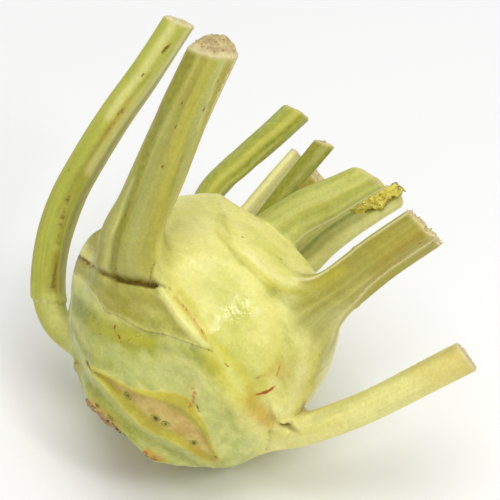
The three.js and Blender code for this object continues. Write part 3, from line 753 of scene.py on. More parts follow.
# on the skin as (azimuth, latitude)
skinPaint = {"lime": [
    stroke(8, 0.55, (-10, 12), (2, 5), (12, -1), (22, -8), (32, -8)),
    stroke(6, 0.42, (-6, 38), (6, 36), (14, 31)),
], "green": [
    stroke(4.4, 0.96, (-72, -29), (-60, -31), (-48, -33), (-38, -33), (-30, -31), (-21, -28.5), (-14, -26)),
    stroke(3.4, 0.62, (-16, -26), (-8, -23.5), (0, -20), (7, -18)),
    stroke(3.2, 0.7, (-74, -38), (-62, -43), (-52, -46.5), (-40, -46.5), (-28, -45)),
    stroke(5, 0.7, (-88, -26), (-84, -40), (-78, -52)),
    stroke(2.6, 0.3, (-48, -39), (-34, -39), (-20, -38)),
    stroke(3, 0.75, (3, -17), (9, -18), (15, -18)),
    stroke(3.6, 0.42, (6, -16), (16, -20), (26, -24), (36, -27)),
    stroke(2.8, 0.6, (12, 21.5), (20, 22.5), (28, 23), (38, 24)),
    stroke(3, 0.3, (25, 14), (36, 9), (46, 3), (56, -3)),
    stroke(3.5, 0.25, (34, 4), (44, -2), (52, -8)),
    stroke(3.4, 0.7, (10, -63), (30, -62), (60, -56), (80, -50)),
    stroke(3.6, 0.75, (-66, -57), (-50, -60), (-30, -63), (-6, -65), (16, -64)),
    stroke(2.4, 0.35, (44, 30), (52, 20), (60, 10)),
    stroke(3.8, 0.62, (-92, 8), (-82, 4), (-74, -2), (-64, -5), (-54, -7), over=True),
    stroke(3.6, 0.5, (-82, 16), (-74, 8), (-66, 2), over=True),
    stroke(1.3, 0.34, (-30, 38), (-22, 32), (-14, 26), (-5, 23)),
], "yellow": [
    stroke(3.2, 0.55, (-50, -34), (-40, -34), (-30, -31.5), (-22, -29), (-14, -26)),
    stroke(1.5, 0.55, (-30, 8), (-23, 1), (-15, -3), (-6, -5), (4, -8.5)),
    stroke(2.6, 0.7, (2, -9), (13, -10), (24, -11), (33, -13), (42, -15)),
    stroke(3, 0.6, (6, -14), (16, -17), (28, -19), (38, -19)),
    stroke(3, 0.5, (33, -6), (40, -11), (46, -15)),
    stroke(1.1, 0.5, (-26, 29), (-18, 26.5), (-8, 24.5), (0, 23.5), (8, 23)),
    stroke(1, 0.55, (8, 22), (17, 25), (22, 28), (25, 33)),
    stroke(2, 0.25, (-40, 40), (-30, 36), (-20, 31)),
    stroke(4, 0.3, (22, 11), (30, 5), (34, -1)),
    stroke(2.2, 0.4, (60, -18), (62, -17), (65, -16.4), over=True),
    stroke(2.6, 0.45, (-46, -30), (-34, -29), (-26, -28)),
], "tan": [
    stroke(0.8, 0.45, (-76, -16.5), (-57, -19.5), (-50, -20.5), (-45, -23), (-41, -24.5), (-35, -23.5),
        (-29, -23), (-19, -22), (-10, -18), (-3, -15.5), (3, -13.5)),
    stroke(3, 0.4, (62, 14), (70, 6), (70, -2)),
    stroke(1.4, 0.3, (8, -12), (14, -16)),
    stroke(3.6, 0.6, (-90, 8), (-82, 3), (-74, -3), (-64, -6), (-54, -8), over=True),
    stroke(3.6, 0.5, (-80, 14), (-74, 6), (-66, 0), over=True),
    stroke(3.4, 0.4, (38, -17), (46, -15), (52, -15)),
    # painted shade on the low stalk's top under the overhanging lobe
    stroke(2.2, 0.75, (63, -5.5), (64.5, -3.5), (66.5, -1.5), (70, 1), over=True),
    # painted shade: two broad faint tan strokes darken the front and the lower part of the stem
    stroke(11, 0.16, (-4, 8), (8, 2), (18, -4), (28, -10), (34, -20)),
    stroke(7, 0.2, (-60, -30), (-46, -34), (-28, -33), (-10, -28), (6, -24), (20, -24)),
], "cream": [
    # along the lip below the right-hand stalk: its own pale margin and a painted highlight
    stroke(1.6, 0.6, (-6, 27), (2, 26), (10, 26.5), (17, 29.5), (21, 33)),
    # painted light: a broad pale patch lightens the shade on the dome beside the big stalk's foot
    stroke(7, 0.4, (-34, 26), (-24, 20), (-16, 14)),
    stroke(0.6, 0.45, (-50, -53.4), (-33, -55.6), (-20, -58), (-8, -60), (10, -60.8), (22, -58.8),
        (34, -55.8)),
    stroke(3.8, 0.62, (48, 8), (54, 2), (56, -4), (57, -10), over=True),
    stroke(1.4, 0.5, (60.2, -17), (60.8, -15.8), (62, -14.8), over=True),
    stroke(4.5, 0.25, (-3, -24), (6, -26), (14, -27)),
], "brown": [
    stroke(0.4, 0.56, (37, -14.6), (39.6, -11.4), (41.3, -7), (42.4, -3), taper=2.2),
    stroke(1.2, 0.5, (-34, -65.6), (-29, -66.2)),
    stroke(1.1, 0.48, (-16, -66), (-11, -66.4)),
    stroke(1.4, 0.5, (-110, -71), (-120, -71)),
    stroke(0.8, 0.5, (40, -67.5), (48, -66.5), (55, -65)),
    stroke(1.5, 0.42, (-78, -10.2), (-64, -12), (-50, -13.4), (-42, -12.9), (-35, -11.3), (-29, -8.8),
        (-23, -5.8), over=True),
    stroke(0.5, 0.36, (-76, -17), (-57, -20.2), (-50, -21.7), (-45, -24.2), (-41, -25.7), (-35, -24.7),
        (-29, -24.2), (-19, -23.2), (-10, -19.2), (-3, -16.7), (3, -14.7), (9, -12.7)),
    stroke(0.5, 0.3, *creases["lowSeam"]["line"], over=True),
    stroke(0.6, 0.6, (21, -33), (24, -34)),
    stroke(0.5, 0.45, (19, -35.5), (22, -35.5)),
    stroke(0.45, 0.4, (13, -33.5), (15, -34.5)),
    stroke(0.35, 0.8, (-41.5, -35), (-41, -35.6)),
    stroke(0.3, 0.55, (-34, -29.5), (-33, -31), (-30, -31.5), (-27, -33.5)),
], "dark": [
    # painted shade: the next five darken the open crack, its split and the pocket under the lobe
    stroke(0.7, 0.82, (-80, -9.6), (-70, -11.1), (-60, -12), (-50, -12.7), (-43, -12.2), (-36, -10.8),
        (-30, -8.4), (-25, -6.2), (-20, -4.4), over=True),
    stroke(1.15, 1, (-50, -12.9), (-43, -12.4), (-36, -10.9), (-30, -8.5), (-25, -6.3), over=True),
    stroke(0.36, 0.75, (-28, -1), (-28, -4), (-27, -6.6), over=True),
    stroke(1.15, 0.95, (59.4, -12.8), (62, -11.5), (63.2, -9.6), (63.5, -7.6), over=True, taper=3),
    stroke(0.8, 0.6, (63, -9), (63.4, -7), (64, -4.6), (65.5, -2), over=True, taper=3),
    # the skin's own dark lines: the low stalk's seam, the collar's border and the scar's tip
    stroke(0.55, 0.46, (58, -15.6), (60, -17.4), (64, -18.8), (68, -20.6), (72, -22.4), (76, -23.6),
        over=True),
    stroke(0.5, 0.5, (-76, -17), (-57, -20.1), (-50, -21.6), (-45, -24.1), (-41, -25.6), (-35, -24.6),
        (-29, -24.1), (-19, -23.1), (-10, -19.1), (-3, -16.6), (3, -14.6), (9, -12.6)),
    stroke(1.4, 0.95, (-55, -51), (-50, -51.2), (-45, -51.4), (-40, -51), taper=3),
], "amber": [
    stroke(3.4, 0.8, (38, -15.8), (42, -17.5), (46, -17), (51, -17), (55, -16.5)),
    stroke(3, 0.4, (33, -12), (34, -6), (36, 1), (42, 1)),
    stroke(2.2, 0.7, (-84, -66), (-60, -67.5), (-31, -67), (-6, -67.5)),
    stroke(2.4, 0.7, (-90, -67), (-104, -70), (-116, -71)),
    stroke(1.6, 1, (36, -66), (48, -65), (58, -64)),
    stroke(0.9, 0.62, (-16, -5.4), (-12, -6.6), (-4, -8.4), (4, -11)),
    stroke(2.4, 0.35, (12, -29), (17, -33), (22, -36)),
    stroke(1.7, 0.35, (46, -50), (60, -45), (72, -42)),
    stroke(3, 0.2, (60, 14), (66, 6), (66, -2)),
], "warm": [
    stroke(1.4, 0.42, (36, -66.5), (46, -65.8), (54, -64.5)),
    stroke(1, 0.34, (-60, -67), (-40, -67.4), (-20, -67)),
    stroke(0.4, 0.5, (-14, -5.5), (-8, -6.8), (-2, -8.5), (4, -10.5)),
    stroke(0.6, 0.42, (56, -17), (58, -17.5), (60, -16)),
    stroke(0.78, 1, (36.2, -15.6), (39.4, -11.6), (41.3, -7), (42.8, -1.6), taper=2.2),
    stroke(0.6, 0.42, (39, -3), (37, 1), (34, 5)),
    stroke(1.2, 0.3, (34, -12), (32, -9), (33, -5)),
    stroke(0.5, 0.6, (-34, -29), (-33, -31), (-30, -31.5), (-27, -33.5)),
    stroke(0.4, 0.55, (-24, -31), (-22, -28), (-19, -26)),
    stroke(0.45, 0.6, (16, -13), (18.5, -13)),
    stroke(1.4, 0.36, (14, -28), (17, -32), (22, -36)),
    stroke(0.6, 0.6, (-75, -30), (-74, -31)),
    stroke(0.5, 0.6, (-68, -35), (-67, -36)),
    stroke(1.6, 0.2, (-26, 12), (-22, 6)),
]}

# the collar's bead is painted cream, partly its own pale colour and partly a painted highlight along it;
# the tan and green strokes beside it and across the collar are painted shade; on the skin and on the
# stalk's foot alike
for name, *painted in (
    ("cream", 1, 0.4, (-46, 18), (-38, 9), (-31, 1), (-25.5, -4), (-20, -7.5), (-14, -9.7), (-8, -11.2),
     (-2, -12), (5, -12.2)),
    ("tan", 1.4, 0.36, (-40, -2), (-32, -7.5), (-25, -10.5), (-18, -12.5), (-10, -13.5), (-2, -13.6)),
    ("green", 1.6, 0.5, (-44, 4), (-36, -3), (-30, -6)),
    ("green", 3, 0.8, (-62, -16), (-50, -17.6), (-40, -18.4), (-32, -18.4)),
):
    skinPaint[name].append(stroke(*painted, over=True))

# patches of the skin by their outline, which follows the creases where there is one
skinAreas = {
    "collar": dict(soft=1.2, line=[
        (-104, -7), (-80, -9.6), (-64, -11.6), (-50, -12.8), (-42, -12.4), (-35, -10.8), (-29, -8.2),
        (-25, -6.4), (-19, -9.5), (-14, -11.5), (-8, -13), (0, -13.5), (8, -12.8),
        *creases["collarBorder"]["line"][-2::-1], (-104, -14)]),
    "scar": dict(soft=0.9, line=[
        (-50, -50.7), (-40, -49.5), (-27, -48.2), (-15, -46.8), (-8.5, -45), (0, -40.8), (9, -35),
        (15, -33.2), (23, -34.4), (33, -36.3), (42, -39), (54, -40.6), (62, -41), (67, -43), (65, -45.5),
        (58, -47.6), *creases["scarFoot"]["line"][7:0:-1]]),
    "scarFace": dict(soft=2.6, line=[
        (-42, -51.3), (-27, -50), (-15, -49), (-8.5, -47.5), (1, -44.6), (10, -42.4), (18, -41),
        (26, -40.4), (34, -40.6), (42, -42), (52, -43), (58, -44.6), (50, -47), (34, -50.6), (22, -53),
        (10, -54.3), (-8, -54.4), (-20, -53.4)]),
    "low": dict(soft=5, line=[
        (-130, -18), (-100, -20), (-76, -19), (-57, -22), (-42, -27), (-29, -25.5), (-10, -20.5), (3, -16),
        (16, -22), (30, -26), (50, -26), (66, -24), (90, -30), (120, -30), (120, -80), (-130, -80)]),
    "wet": dict(soft=4, line=[
        (7, -8), (3, -3), (1, 4), (2, 11), (6, 14), (11, 10), (13, 3), (13, -3), (11, -7)]),
    "right": dict(soft=8, line=[
        (16, 22), (34, 22), (60, 18), (80, 0), (70, -22), (44, -22), (30, -8), (20, 6)]),
}


def strokeLevel(points, stroke):
    if "path" not in stroke:
        stroke["path"] = smoothCurve(onPlainSkin(stroke["line"]), 5)
    level = np.zeros(len(points))
    chosen = closeTo(points, stroke["path"], 3.2 * stroke["width"])
    distance, _, along, _ = placeOnLine(points[chosen], stroke["path"])
    value = stroke["level"] * bell(distance / stroke["width"])
    if "taper" in stroke:
        value = value * smoothRise(along * stroke["taper"]) * smoothRise((1 - along) * stroke["taper"])
    level[chosen] = value
    return level


def areaLevel(azimuth, latitude, area):
    # 1 inside an outline drawn in azimuth and latitude, fading over its softness
    corners = np.array(area["line"], float)
    squash = math.cos(math.radians(np.abs(corners[:, 1]).mean()))
    x, y = azimuth * squash, latitude
    corners = corners * np.array([squash, 1])
    best = np.full(len(x), 1e9)
    inside = np.zeros(len(x), bool)
    for (ax, ay), (bx, by) in zip(corners, np.roll(corners, -1, axis=0)):
        dx, dy = bx - ax, by - ay
        t = np.clip(((x - ax) * dx + (y - ay) * dy) / (dx * dx + dy * dy + 1e-9), 0, 1)
        best = np.minimum(best, np.hypot(x - ax - t * dx, y - ay - t * dy))
        crossing = (ay > y) != (by > y)
        if abs(dy) > 1e-9:
            inside ^= crossing & (x < ax + (y - ay) * dx / dy)
    return smoothRise(0.5 + np.where(inside, best, -best) / (2 * area["soft"]))


softNoise = [Lumps(size, 0.5) for size in (9, 9, 14, 5, 7, 11)]
maskNames = ["green", "lime", "yellow", "tan", "cream", "brown", "warm", "amber", "dark", "wet", "bloom",
             "scar", "scarFace"]


def skinMasks(points):
    directions = unit(points)
    plain = directions * plainRadius(directions)[:, None]
    masks = {name: np.zeros(len(points)) for name in maskNames}

    def raised(name, level):
        masks[name] = np.maximum(masks[name], level)

    for name, strokes in skinPaint.items():
        for stroke in strokes:
            if not stroke.get("over"):
                raised(name, strokeLevel(plain, stroke))
    drawnGreen = masks["green"].copy()
    azimuth = np.degrees(np.arctan2(directions[:, 1], directions[:, 0]))
    latitude = np.degrees(np.arcsin(np.clip(directions[:, 2], -1, 1)))
    areas = {name: areaLevel(azimuth, latitude, area) for name, area in skinAreas.items()}
    areas["collar"] *= smoothRise((azimuth + 104) / 26)
    for middle, level, halfTurn, height in farScars:
        t = ((azimuth - middle + 180) % 360 - 180) / halfTurn
        depth = 1 - t * t - np.abs(latitude - level - 5 * t * t) / height
        areas["scar"] = np.maximum(areas["scar"], 0.8 * smoothRise(depth * 3))
    far = smoothRise((np.abs(azimuth) - 75) / 40)
    patchy = [0.5 + 0.5 * noise.at(plain) for noise in softNoise]
    raised("tan", areas["collar"] * (0.36 + 0.2 * patchy[0]))
    raised("green", areas["collar"] * (0.5 + 0.14 * patchy[3]))
    raised("lime", areas["low"] * (0.12 + 0.5 * patchy[4]))
    masks["wet"] = areas["wet"]
    masks["bloom"] = np.clip(areas["low"] * (0.6 + 0.4 * patchy[1]), 0, 1)
    raised("bloom", far * (0.22 + 0.26 * patchy[2]))
    raised("green", areas["low"] * (0.17 + 0.32 * patchy[3]))
    raised("green", areas["right"] * 0.04)
    raised("tan", areas["right"] * 0.05)
    raised("green", far * (0.16 + 0.22 * patchy[4]))
    raised("tan", far * smoothRise(-latitude / 40) * 0.2 * patchy[5])
    masks["scar"], masks["scarFace"] = areas["scar"], areas["scarFace"]
    for name, crease in creases.items():
        if name.startswith(("shield", "scar0", "scar1")):
            distance = placeOnLine(plain, crease["path"])[0]
            raised("brown", 0.4 * bell(distance / 0.45))
            raised("tan", 0.45 * bell(distance / 2.0))
    masks["bloom"] *= (1 - areas["scar"]) * (1 - 0.9 * drawnGreen)
    masks["green"] *= 1 - areas["scar"]
    masks["lime"] *= 1 - areas["scar"]
    return masks


# on the stalks as (millimetres along, degrees round); tint is the level all over
stalkPaint = {
    "stalk_1": dict(tint=dict(lime=0.85, green=0.2, tan=0.2), strokes={"green": [
        stroke(2.6, 0.36, (38, -45), (60, -35), (90, -20), (120, -30)),
        stroke(1.2, 0.4, (60, 5), (100, 15), (120, 12)),
    ], "cream": [
        stroke(2.4, 0.6, (80, 32), (120, 38), (160, 45)),
        stroke(3, 0.26, (14, -60), (26, -60), (33, -60)),
        stroke(2, 0.5, (40, -70), (60, -80), (110, -85), (150, -85)),
        stroke(6, 0.4, (8, 0), (20, 5), (29, 10)),
        stroke(2.4, 0.5, (100, -6), (130, -8), (160, -8)),
        stroke(1, 0.6, (34, -120), (33.1, -60), (30.6, 0), (29, 60), (29.9, 120)),
    ], "amber": [
        stroke(2.4, 0.35, (36, 66), (100, 78), (150, 78)),
        stroke(1.6, 0.4, (92, 15), (108, 14)),
    ], "tan": [
        stroke(3.4, 0.75, (36, 62), (60, 70), (100, 74), (150, 74)),
        stroke(1.6, 0.6, (40, -88), (100, -96), (150, -96)),
        stroke(2.4, 0.8, (35, 22), (47, 28)),
        stroke(1.8, 0.55, (52, 25), (70, 22), (104, 18)),
    ], "brown": [
        stroke(1.3, 0.5, (36, 23), (39.5, 26)),
        stroke(0.8, 0.5, (39, 26), (44, 28)),
        stroke(1.6, 0.38, (50, 25), (58, 21), (68, 15)),
        stroke(1.2, 0.41, (94, 15), (106, 14)),
        stroke(0.7, 0.45, (44, 70), (56, 66), (66, 70)),
        stroke(1, 0.5, (129, 10), (133, 10)),
        stroke(0.4, 0.5, (139, 5), (144, 2)),
        stroke(0.5, 0.6, (118, 0), (119, 0)),
        stroke(0.4, 0.6, (87, -30), (88, -30)),
        stroke(0.5, 0.55, (76, -22), (77, -22)),
        stroke(0.4, 0.6, (112, -58), (113, -58)),
    ]}),
    "stalk_2": dict(tint=dict(green=0.02, tan=0.06, cream=0.4, amber=0.08), strokes={"green": [
        stroke(2.4, 0.5, (40, 164), (52, 154), (72, 150), (88, 150)),
    ], "yellow": [
        stroke(2.6, 0.5, (22, 175), (29, 178), (36, -170), (46, -165)),
    ], "tan": [
        stroke(2.6, 0.66, (18, 140), (38, 132), (60, 112), (90, 92)),
        stroke(2, 0.3, (60, -150), (90, -150)),
    ], "amber": [
        stroke(17, 0.48, (90, 0), (110, 0)),
        stroke(17, 0.48, (90, 180), (110, 180)),
    ], "warm": [
        stroke(0.5, 0.35, (60, 132), (76, 134), (100, 136)),
    ]}),
    "stalk_3": dict(tint=dict(lime=0.34, green=0.44, tan=0.48), strokes={"green": [
        # the left valley's green is the stalk's own stripe, darkened further as painted shade on its shaded
        # side
        stroke(3.2, 1, (120, -112), (78, -112), (67.3, -114), (57, -113), (43, -106), (34.7, -98),
            (26, -84), (19, -88)),
        stroke(0.7, 0.6, (112, -34), (84, -36), (66, -26), (48, -10)),
    ], "bloom": [
        stroke(3, 0.5, (70, -92), (42.5, -68), (31.8, -52), (20, -49)),
        stroke(2.6, 0.5, (48, -134), (36, -130), (26, -122)),
        stroke(1.2, 0.85, (112, -26), (86, -26), (66, -14), (52, -4)),
        stroke(2.2, 0.9, (112, -140), (104, -130), (100, -120)),
    ], "yellow": [
        stroke(2.2, 0.4, (112, -56), (72.1, -44), (58.7, -34), (45.2, -24), (36, -14)),
        stroke(2.2, 0.4, (34, 8), (27, -6), (20, -20)),
    ], "cream": [
        stroke(1.8, 0.34, (70, 6), (56, 12), (46, 10), (36, 14), (28, 2), (22, -8), (16, -20)),
        stroke(1.6, 0.6, (112, 2), (90, 4), (70, 10)),
        stroke(0.8, 0.4, (46, -120), (38, -119), (28, -108)),
        stroke(0.5, 0.4, (112, -22), (90, -22), (70, -10)),
    ], "tan": [
        stroke(1.6, 0.85, (120, -10), (84, -8), (66, 4), (56, 12)),
        stroke(5, 0.65, (120, -66), (100, -62)),
        stroke(4, 0.65, (40, -145), (30, -140), (20, -125)),
    ], "warm": [
        stroke(0.7, 0.4, (118, -4), (100, -4), (84, -2)),
    ], "brown": [
        stroke(0.4, 0.5, (118, -1), (100, -1), (84, 0)),
        stroke(0.3, 0.42, (96, -18), (80, -18), (66, -10)),
        stroke(0.4, 0.9, (75.5, -74), (76.3, -74)),
        stroke(0.4, 0.8, (60.4, -72), (61, -71)),
        stroke(0.4, 0.8, (55, -52), (55.8, -52)),
        stroke(0.35, 0.7, (68, -62), (69, -60)),
    ]}),
    "stalk_4": dict(tint=dict(green=0.42, tan=0.4, amber=0.08), strokes={"amber": [
        stroke(12, 0.4, (46, 0), (70, 0)),
        stroke(12, 0.4, (46, 180), (70, 180)),
    ]}),
    "stalk_5": dict(tint=dict(green=0.52, tan=0.6), strokes={"yellow": [
        stroke(2.4, 0.4, (16, -165), (24, -170), (32, -168)),
    ], "cream": [
        stroke(0.9, 0.7, (18, 170), (26, 168), (40, 172), (62, 172)),
        stroke(1.6, 0.6, (14, -50), (26, -72), (34, -80), (60, -82)),
        stroke(6, 0.46, (2, -44), (14, -56), (24, -70)),
    ], "green": [
        stroke(1.6, 0.75, (16, -150), (26, -144), (44, -146), (60, -150)),
        stroke(1.6, 0.4, (20, -100), (34, -92), (60, -90)),
    ], "bloom": [
        stroke(4, 0.6, (14, -120), (20, -100), (22, -70)),
    ], "tan": [
        stroke(6, 0.85, (40, -110), (54, -116), (68, -120)),
    ], "amber": [
        stroke(6, 0.28, (44, -130), (68, -134)),
    ], "warm": [
        stroke(0.8, 0.45, (28, -80), (40, -88), (62, -90)),
    ], "brown": [
        stroke(0.4, 0.8, (57, -106), (57.5, -106)),
    ]}),
    "stalk_6": dict(tint=dict(green=0.68, lime=0.5), strokes={"yellow": [
        stroke(2.2, 0.5, (16, -6), (30, -10), (60, -2)),
    ], "green": [
        stroke(1.6, 0.3, (30, 0), (60, 6)),
        stroke(2.6, 0.95, (16, 60), (40, 66), (60, 66)),
    ], "bloom": [
        stroke(2, 0.6, (14, -50), (40, -52), (60, -44)),
        stroke(1.2, 0.55, (16, 36), (40, 42), (60, 46)),
    ], "tan": [
        stroke(2, 0.5, (50, 90), (62, 90)),
    ]}),
    "stalk_7": dict(tint=dict(green=0.24, bloom=0.35), strokes={"green": [
        stroke(4, 0.8, (14, 110), (30, 110), (50, 110)),
    ], "cream": [
        stroke(2, 0.4, (16, 170), (34, 170), (50, 175)),
    ]}),
    "stalk_8": dict(tint=dict(green=0.5, lime=0.4, bloom=0.2), strokes={"yellow": [
        stroke(1.5, 0.35, (14, -100), (30, -100), (46, -96)),
        stroke(4, 0.2, (40, -140), (54, -140)),
    ], "green": [
        stroke(2.6, 0.42, (14, -60), (26, -60), (44, -60)),
        stroke(2, 0.38, (14, -160), (26, -156), (40, -150)),
    ], "cream": [
        stroke(0.9, 0.6, (14, -40), (24, -38), (48, -36)),
    ], "warm": [
        stroke(4, 0.25, (50, -100), (56, -100)),
    ]}),
    "stalk_9": dict(tint=dict(green=0.03, cream=0.8, tan=0.04), strokes={"warm": [
        stroke(5, 0.15, (40, 0), (46, 0)),
    ]}),
    # its deep green tint is partly its own colour and partly painted shade
    "stalk_10": dict(tint=dict(green=1, tan=0.26, lime=0.3), strokes={"green": [
        stroke(2.2, 1, (20, -80), (50, -80)),
    ], "cream": [
        stroke(1, 0.2, (40, -20), (52, -20)),
    ]}),
}


def stalkMasks(name, along, angle):
    # along in millimetres, angle in radians
    stalk, paint = stalks[name], stalkPaint[name]
    masks = {key: np.full(len(along), float(paint["tint"].get(key, 0))) for key in maskNames}
    for key, strokes in paint["strokes"].items():
        for stroke in strokes:
            distance = strokeDistance(stalk, stroke["line"], along, angle)
            level = stroke["level"] * bell(distance / stroke["width"])
            masks[key] = np.maximum(masks[key], level)
    return masks


def blended(points, masksOfSkin, onlyStalk=None):
    # the skin's colours pass into each stalk's over its foot
    masks = dict(masksOfSkin)
    share, fibre = np.zeros(len(points)), np.zeros(len(points))
    grain = np.zeros((len(points), 3))
    height = np.maximum(heightOverSkin(points), 0)
    for name, stalk in stalks.items():
        if onlyStalk and name != onlyStalk:
            continue
        reach = stalk["foot"]
        near = np.linalg.norm(points - stalk["centre"][0], axis=1) < 3.4 * reach + 2.4 * max(stalk["wide"])
        if onlyStalk:
            near[:] = True
        chosen = np.where(near)[0]
        if not len(chosen):
            continue
        gap, at, angle = outsideStalk(stalk, points[chosen])
        gap = np.maximum(gap, 0)
        weight = smoothRise(height[chosen] / np.maximum(height[chosen] + gap, 1e-6) * 1.15)
        weight *= smoothRise(1.6 - gap / reach)
        if onlyStalk:
            weight = np.where(height[chosen] > reach, 1, weight)
        along = at * stalk["length"]
        found = stalkMasks(name, along, angle)
        stronger = weight > share[chosen]
        for key in masks:
            mixed = masksOfSkin[key][chosen] * (1 - weight) + found[key] * weight
            masks[key] = masks[key].copy()
            masks[key][chosen[stronger]] = mixed[stronger]
        section = outlineRadius(stalk, at, angle) / halfWidth(stalk, at) * stalk["wide"][1]
        course = np.stack([np.cos(angle) * section, np.sin(angle) * section, along * 0.03], axis=1)
        grain[chosen[stronger]] = course[stronger]
        share[chosen[stronger]] = weight[stronger]
        fibre[chosen[stronger]] = weight[stronger] * stalk["fibre"]
    # what runs over the skin and the feet of the stalks alike
    near = np.where(height < 14)[0]
    directions = unit(points[near])
    plain = directions * plainRadius(directions)[:, None]
    fading = smoothRise(1 - height[near] / 14)
    for name, strokes in skinPaint.items():
        for stroke in strokes:
            if stroke.get("over") and (not onlyStalk or stalks[onlyStalk].get("shared")):
                masks[name] = masks[name].copy()
                masks[name][near] = np.maximum(masks[name][near], fading * strokeLevel(plain, stroke))
    masks["fibre"] = fibre
    masks["course"] = share
    masks["stem"] = points
    masks["grain"] = grain
    return masks


# finishes

def tone(red, green, blue):
    # a colour given as on screen, from 0 to 255
    linear = [((c / 255 + 0.055) / 1.055) ** 2.4 if c > 10 else c / 255 / 12.92 for c in (red, green, blue)]
    return (*linear, 1)


class Finish:
    # a small helper that lays nodes one after another
    def __init__(self, name):
        self.material = bpy.data.materials.new(name)
        self.material.use_nodes = True
        self.nodes = self.material.node_tree.nodes
        self.links = self.material.node_tree.links
        self.shader = self.nodes["Principled BSDF"]
        self.place = self.nodes.new("ShaderNodeTexCoord").outputs["Object"]

    def put(self, socket, value):
        if isinstance(value, bpy.types.NodeSocket):
            self.links.new(value, socket)
        else:
            socket.default_value = value

    def mask(self, name, kind="Fac"):
        node = self.nodes.new("ShaderNodeAttribute")
        node.attribute_name = name
        return node.outputs[kind]

    def sum(self, operation, a, b, clamp=False):
        node = self.nodes.new("ShaderNodeMath")
        node.operation = operation
        node.use_clamp = clamp
        self.put(node.inputs[0], a)
        self.put(node.inputs[1], b)
        return node.outputs[0]

    def plus(self, a, b, clamp=False):
        return self.sum("ADD", a, b, clamp)

    def minus(self, a, b):
        return self.sum("SUBTRACT", a, b)

    def times(self, a, b, clamp=False):
        return self.sum("MULTIPLY", a, b, clamp)

    def drive(self, name, value):
        self.put(self.shader.inputs[name], value)

    def noise(self, scale, detail=3, rough=0.55, vector=None, stretch=None):
        node = self.nodes.new("ShaderNodeTexNoise")
        node.inputs["Scale"].default_value = scale
        node.inputs["Detail"].default_value = detail
        node.inputs["Roughness"].default_value = rough
        source = self.place if vector is None else vector
        if stretch:
            mapping = self.nodes.new("ShaderNodeMapping")
            mapping.inputs["Scale"].default_value = stretch
            self.links.new(source, mapping.inputs["Vector"])
            source = mapping.outputs[0]
        self.links.new(source, node.inputs["Vector"])
        return node.outputs["Fac"]

    def cells(self, scale, feature="F1"):
        node = self.nodes.new("ShaderNodeTexVoronoi")
        node.feature = feature
        node.inputs["Scale"].default_value = scale
        self.links.new(self.place, node.inputs["Vector"])
        return node.outputs["Distance"]

    def span(self, value, low, high, outLow=0.0, outHigh=1.0):
        node = self.nodes.new("ShaderNodeMapRange")
        node.interpolation_type = "SMOOTHSTEP"
        self.put(node.inputs["Value"], value)
        for key, number in zip(("From Min", "From Max", "To Min", "To Max"), (low, high, outLow, outHigh)):
            node.inputs[key].default_value = number
        return node.outputs["Result"]

    def mix(self, share, under, over):
        node = self.nodes.new("ShaderNodeMix")
        node.data_type = "RGBA"
        self.put(node.inputs[0], share)
        self.put(node.inputs[6], under)
        self.put(node.inputs[7], over)
        return node.outputs[2]

    def mixValue(self, share, under, over):
        node = self.nodes.new("ShaderNodeMix")
        node.data_type = "FLOAT"
        self.put(node.inputs[0], share)
        self.put(node.inputs[2], under)
        self.put(node.inputs[3], over)
        return node.outputs[0]

    def scaled(self, colour, factor):
        node = self.nodes.new("ShaderNodeVectorMath")
        node.operation = "SCALE"
        self.links.new(colour, node.inputs[0])
        self.put(node.inputs["Scale"], factor)
        return node.outputs[0]

    def bump(self, height, strength, distance, before=None):
        node = self.nodes.new("ShaderNodeBump")
        node.inputs["Strength"].default_value = strength
        node.inputs["Distance"].default_value = distance
        self.put(node.inputs["Height"], height)
        if before is not None:
            self.links.new(before, node.inputs["Normal"])
        return node.outputs["Normal"]


# dark is painted shade in the crack, split and pocket, as well as the skin's own dark lines
skinLook = {
    "flesh": (234, 229, 140), "fleshDeep": (214, 207, 104), "green": (146, 152, 26),
    "deepGreen": (110, 120, 14), "lime": (187, 193, 68), "yellow": (206, 198, 56), "tan": (158, 142, 48),
    "cream": (240, 233, 162), "bloom": (182, 190, 122), "brown": (122, 90, 34), "warm": (178, 86, 36),
    "amber": (196, 158, 46), "dark": (112, 88, 0), "scar": (218, 195, 114), "scarDeep": (200, 170, 88),
    "scarOlive": (184, 172, 64), "scarYellow": (208, 198, 72), "lip": (214, 200, 140), "gloss": 0.3,
}


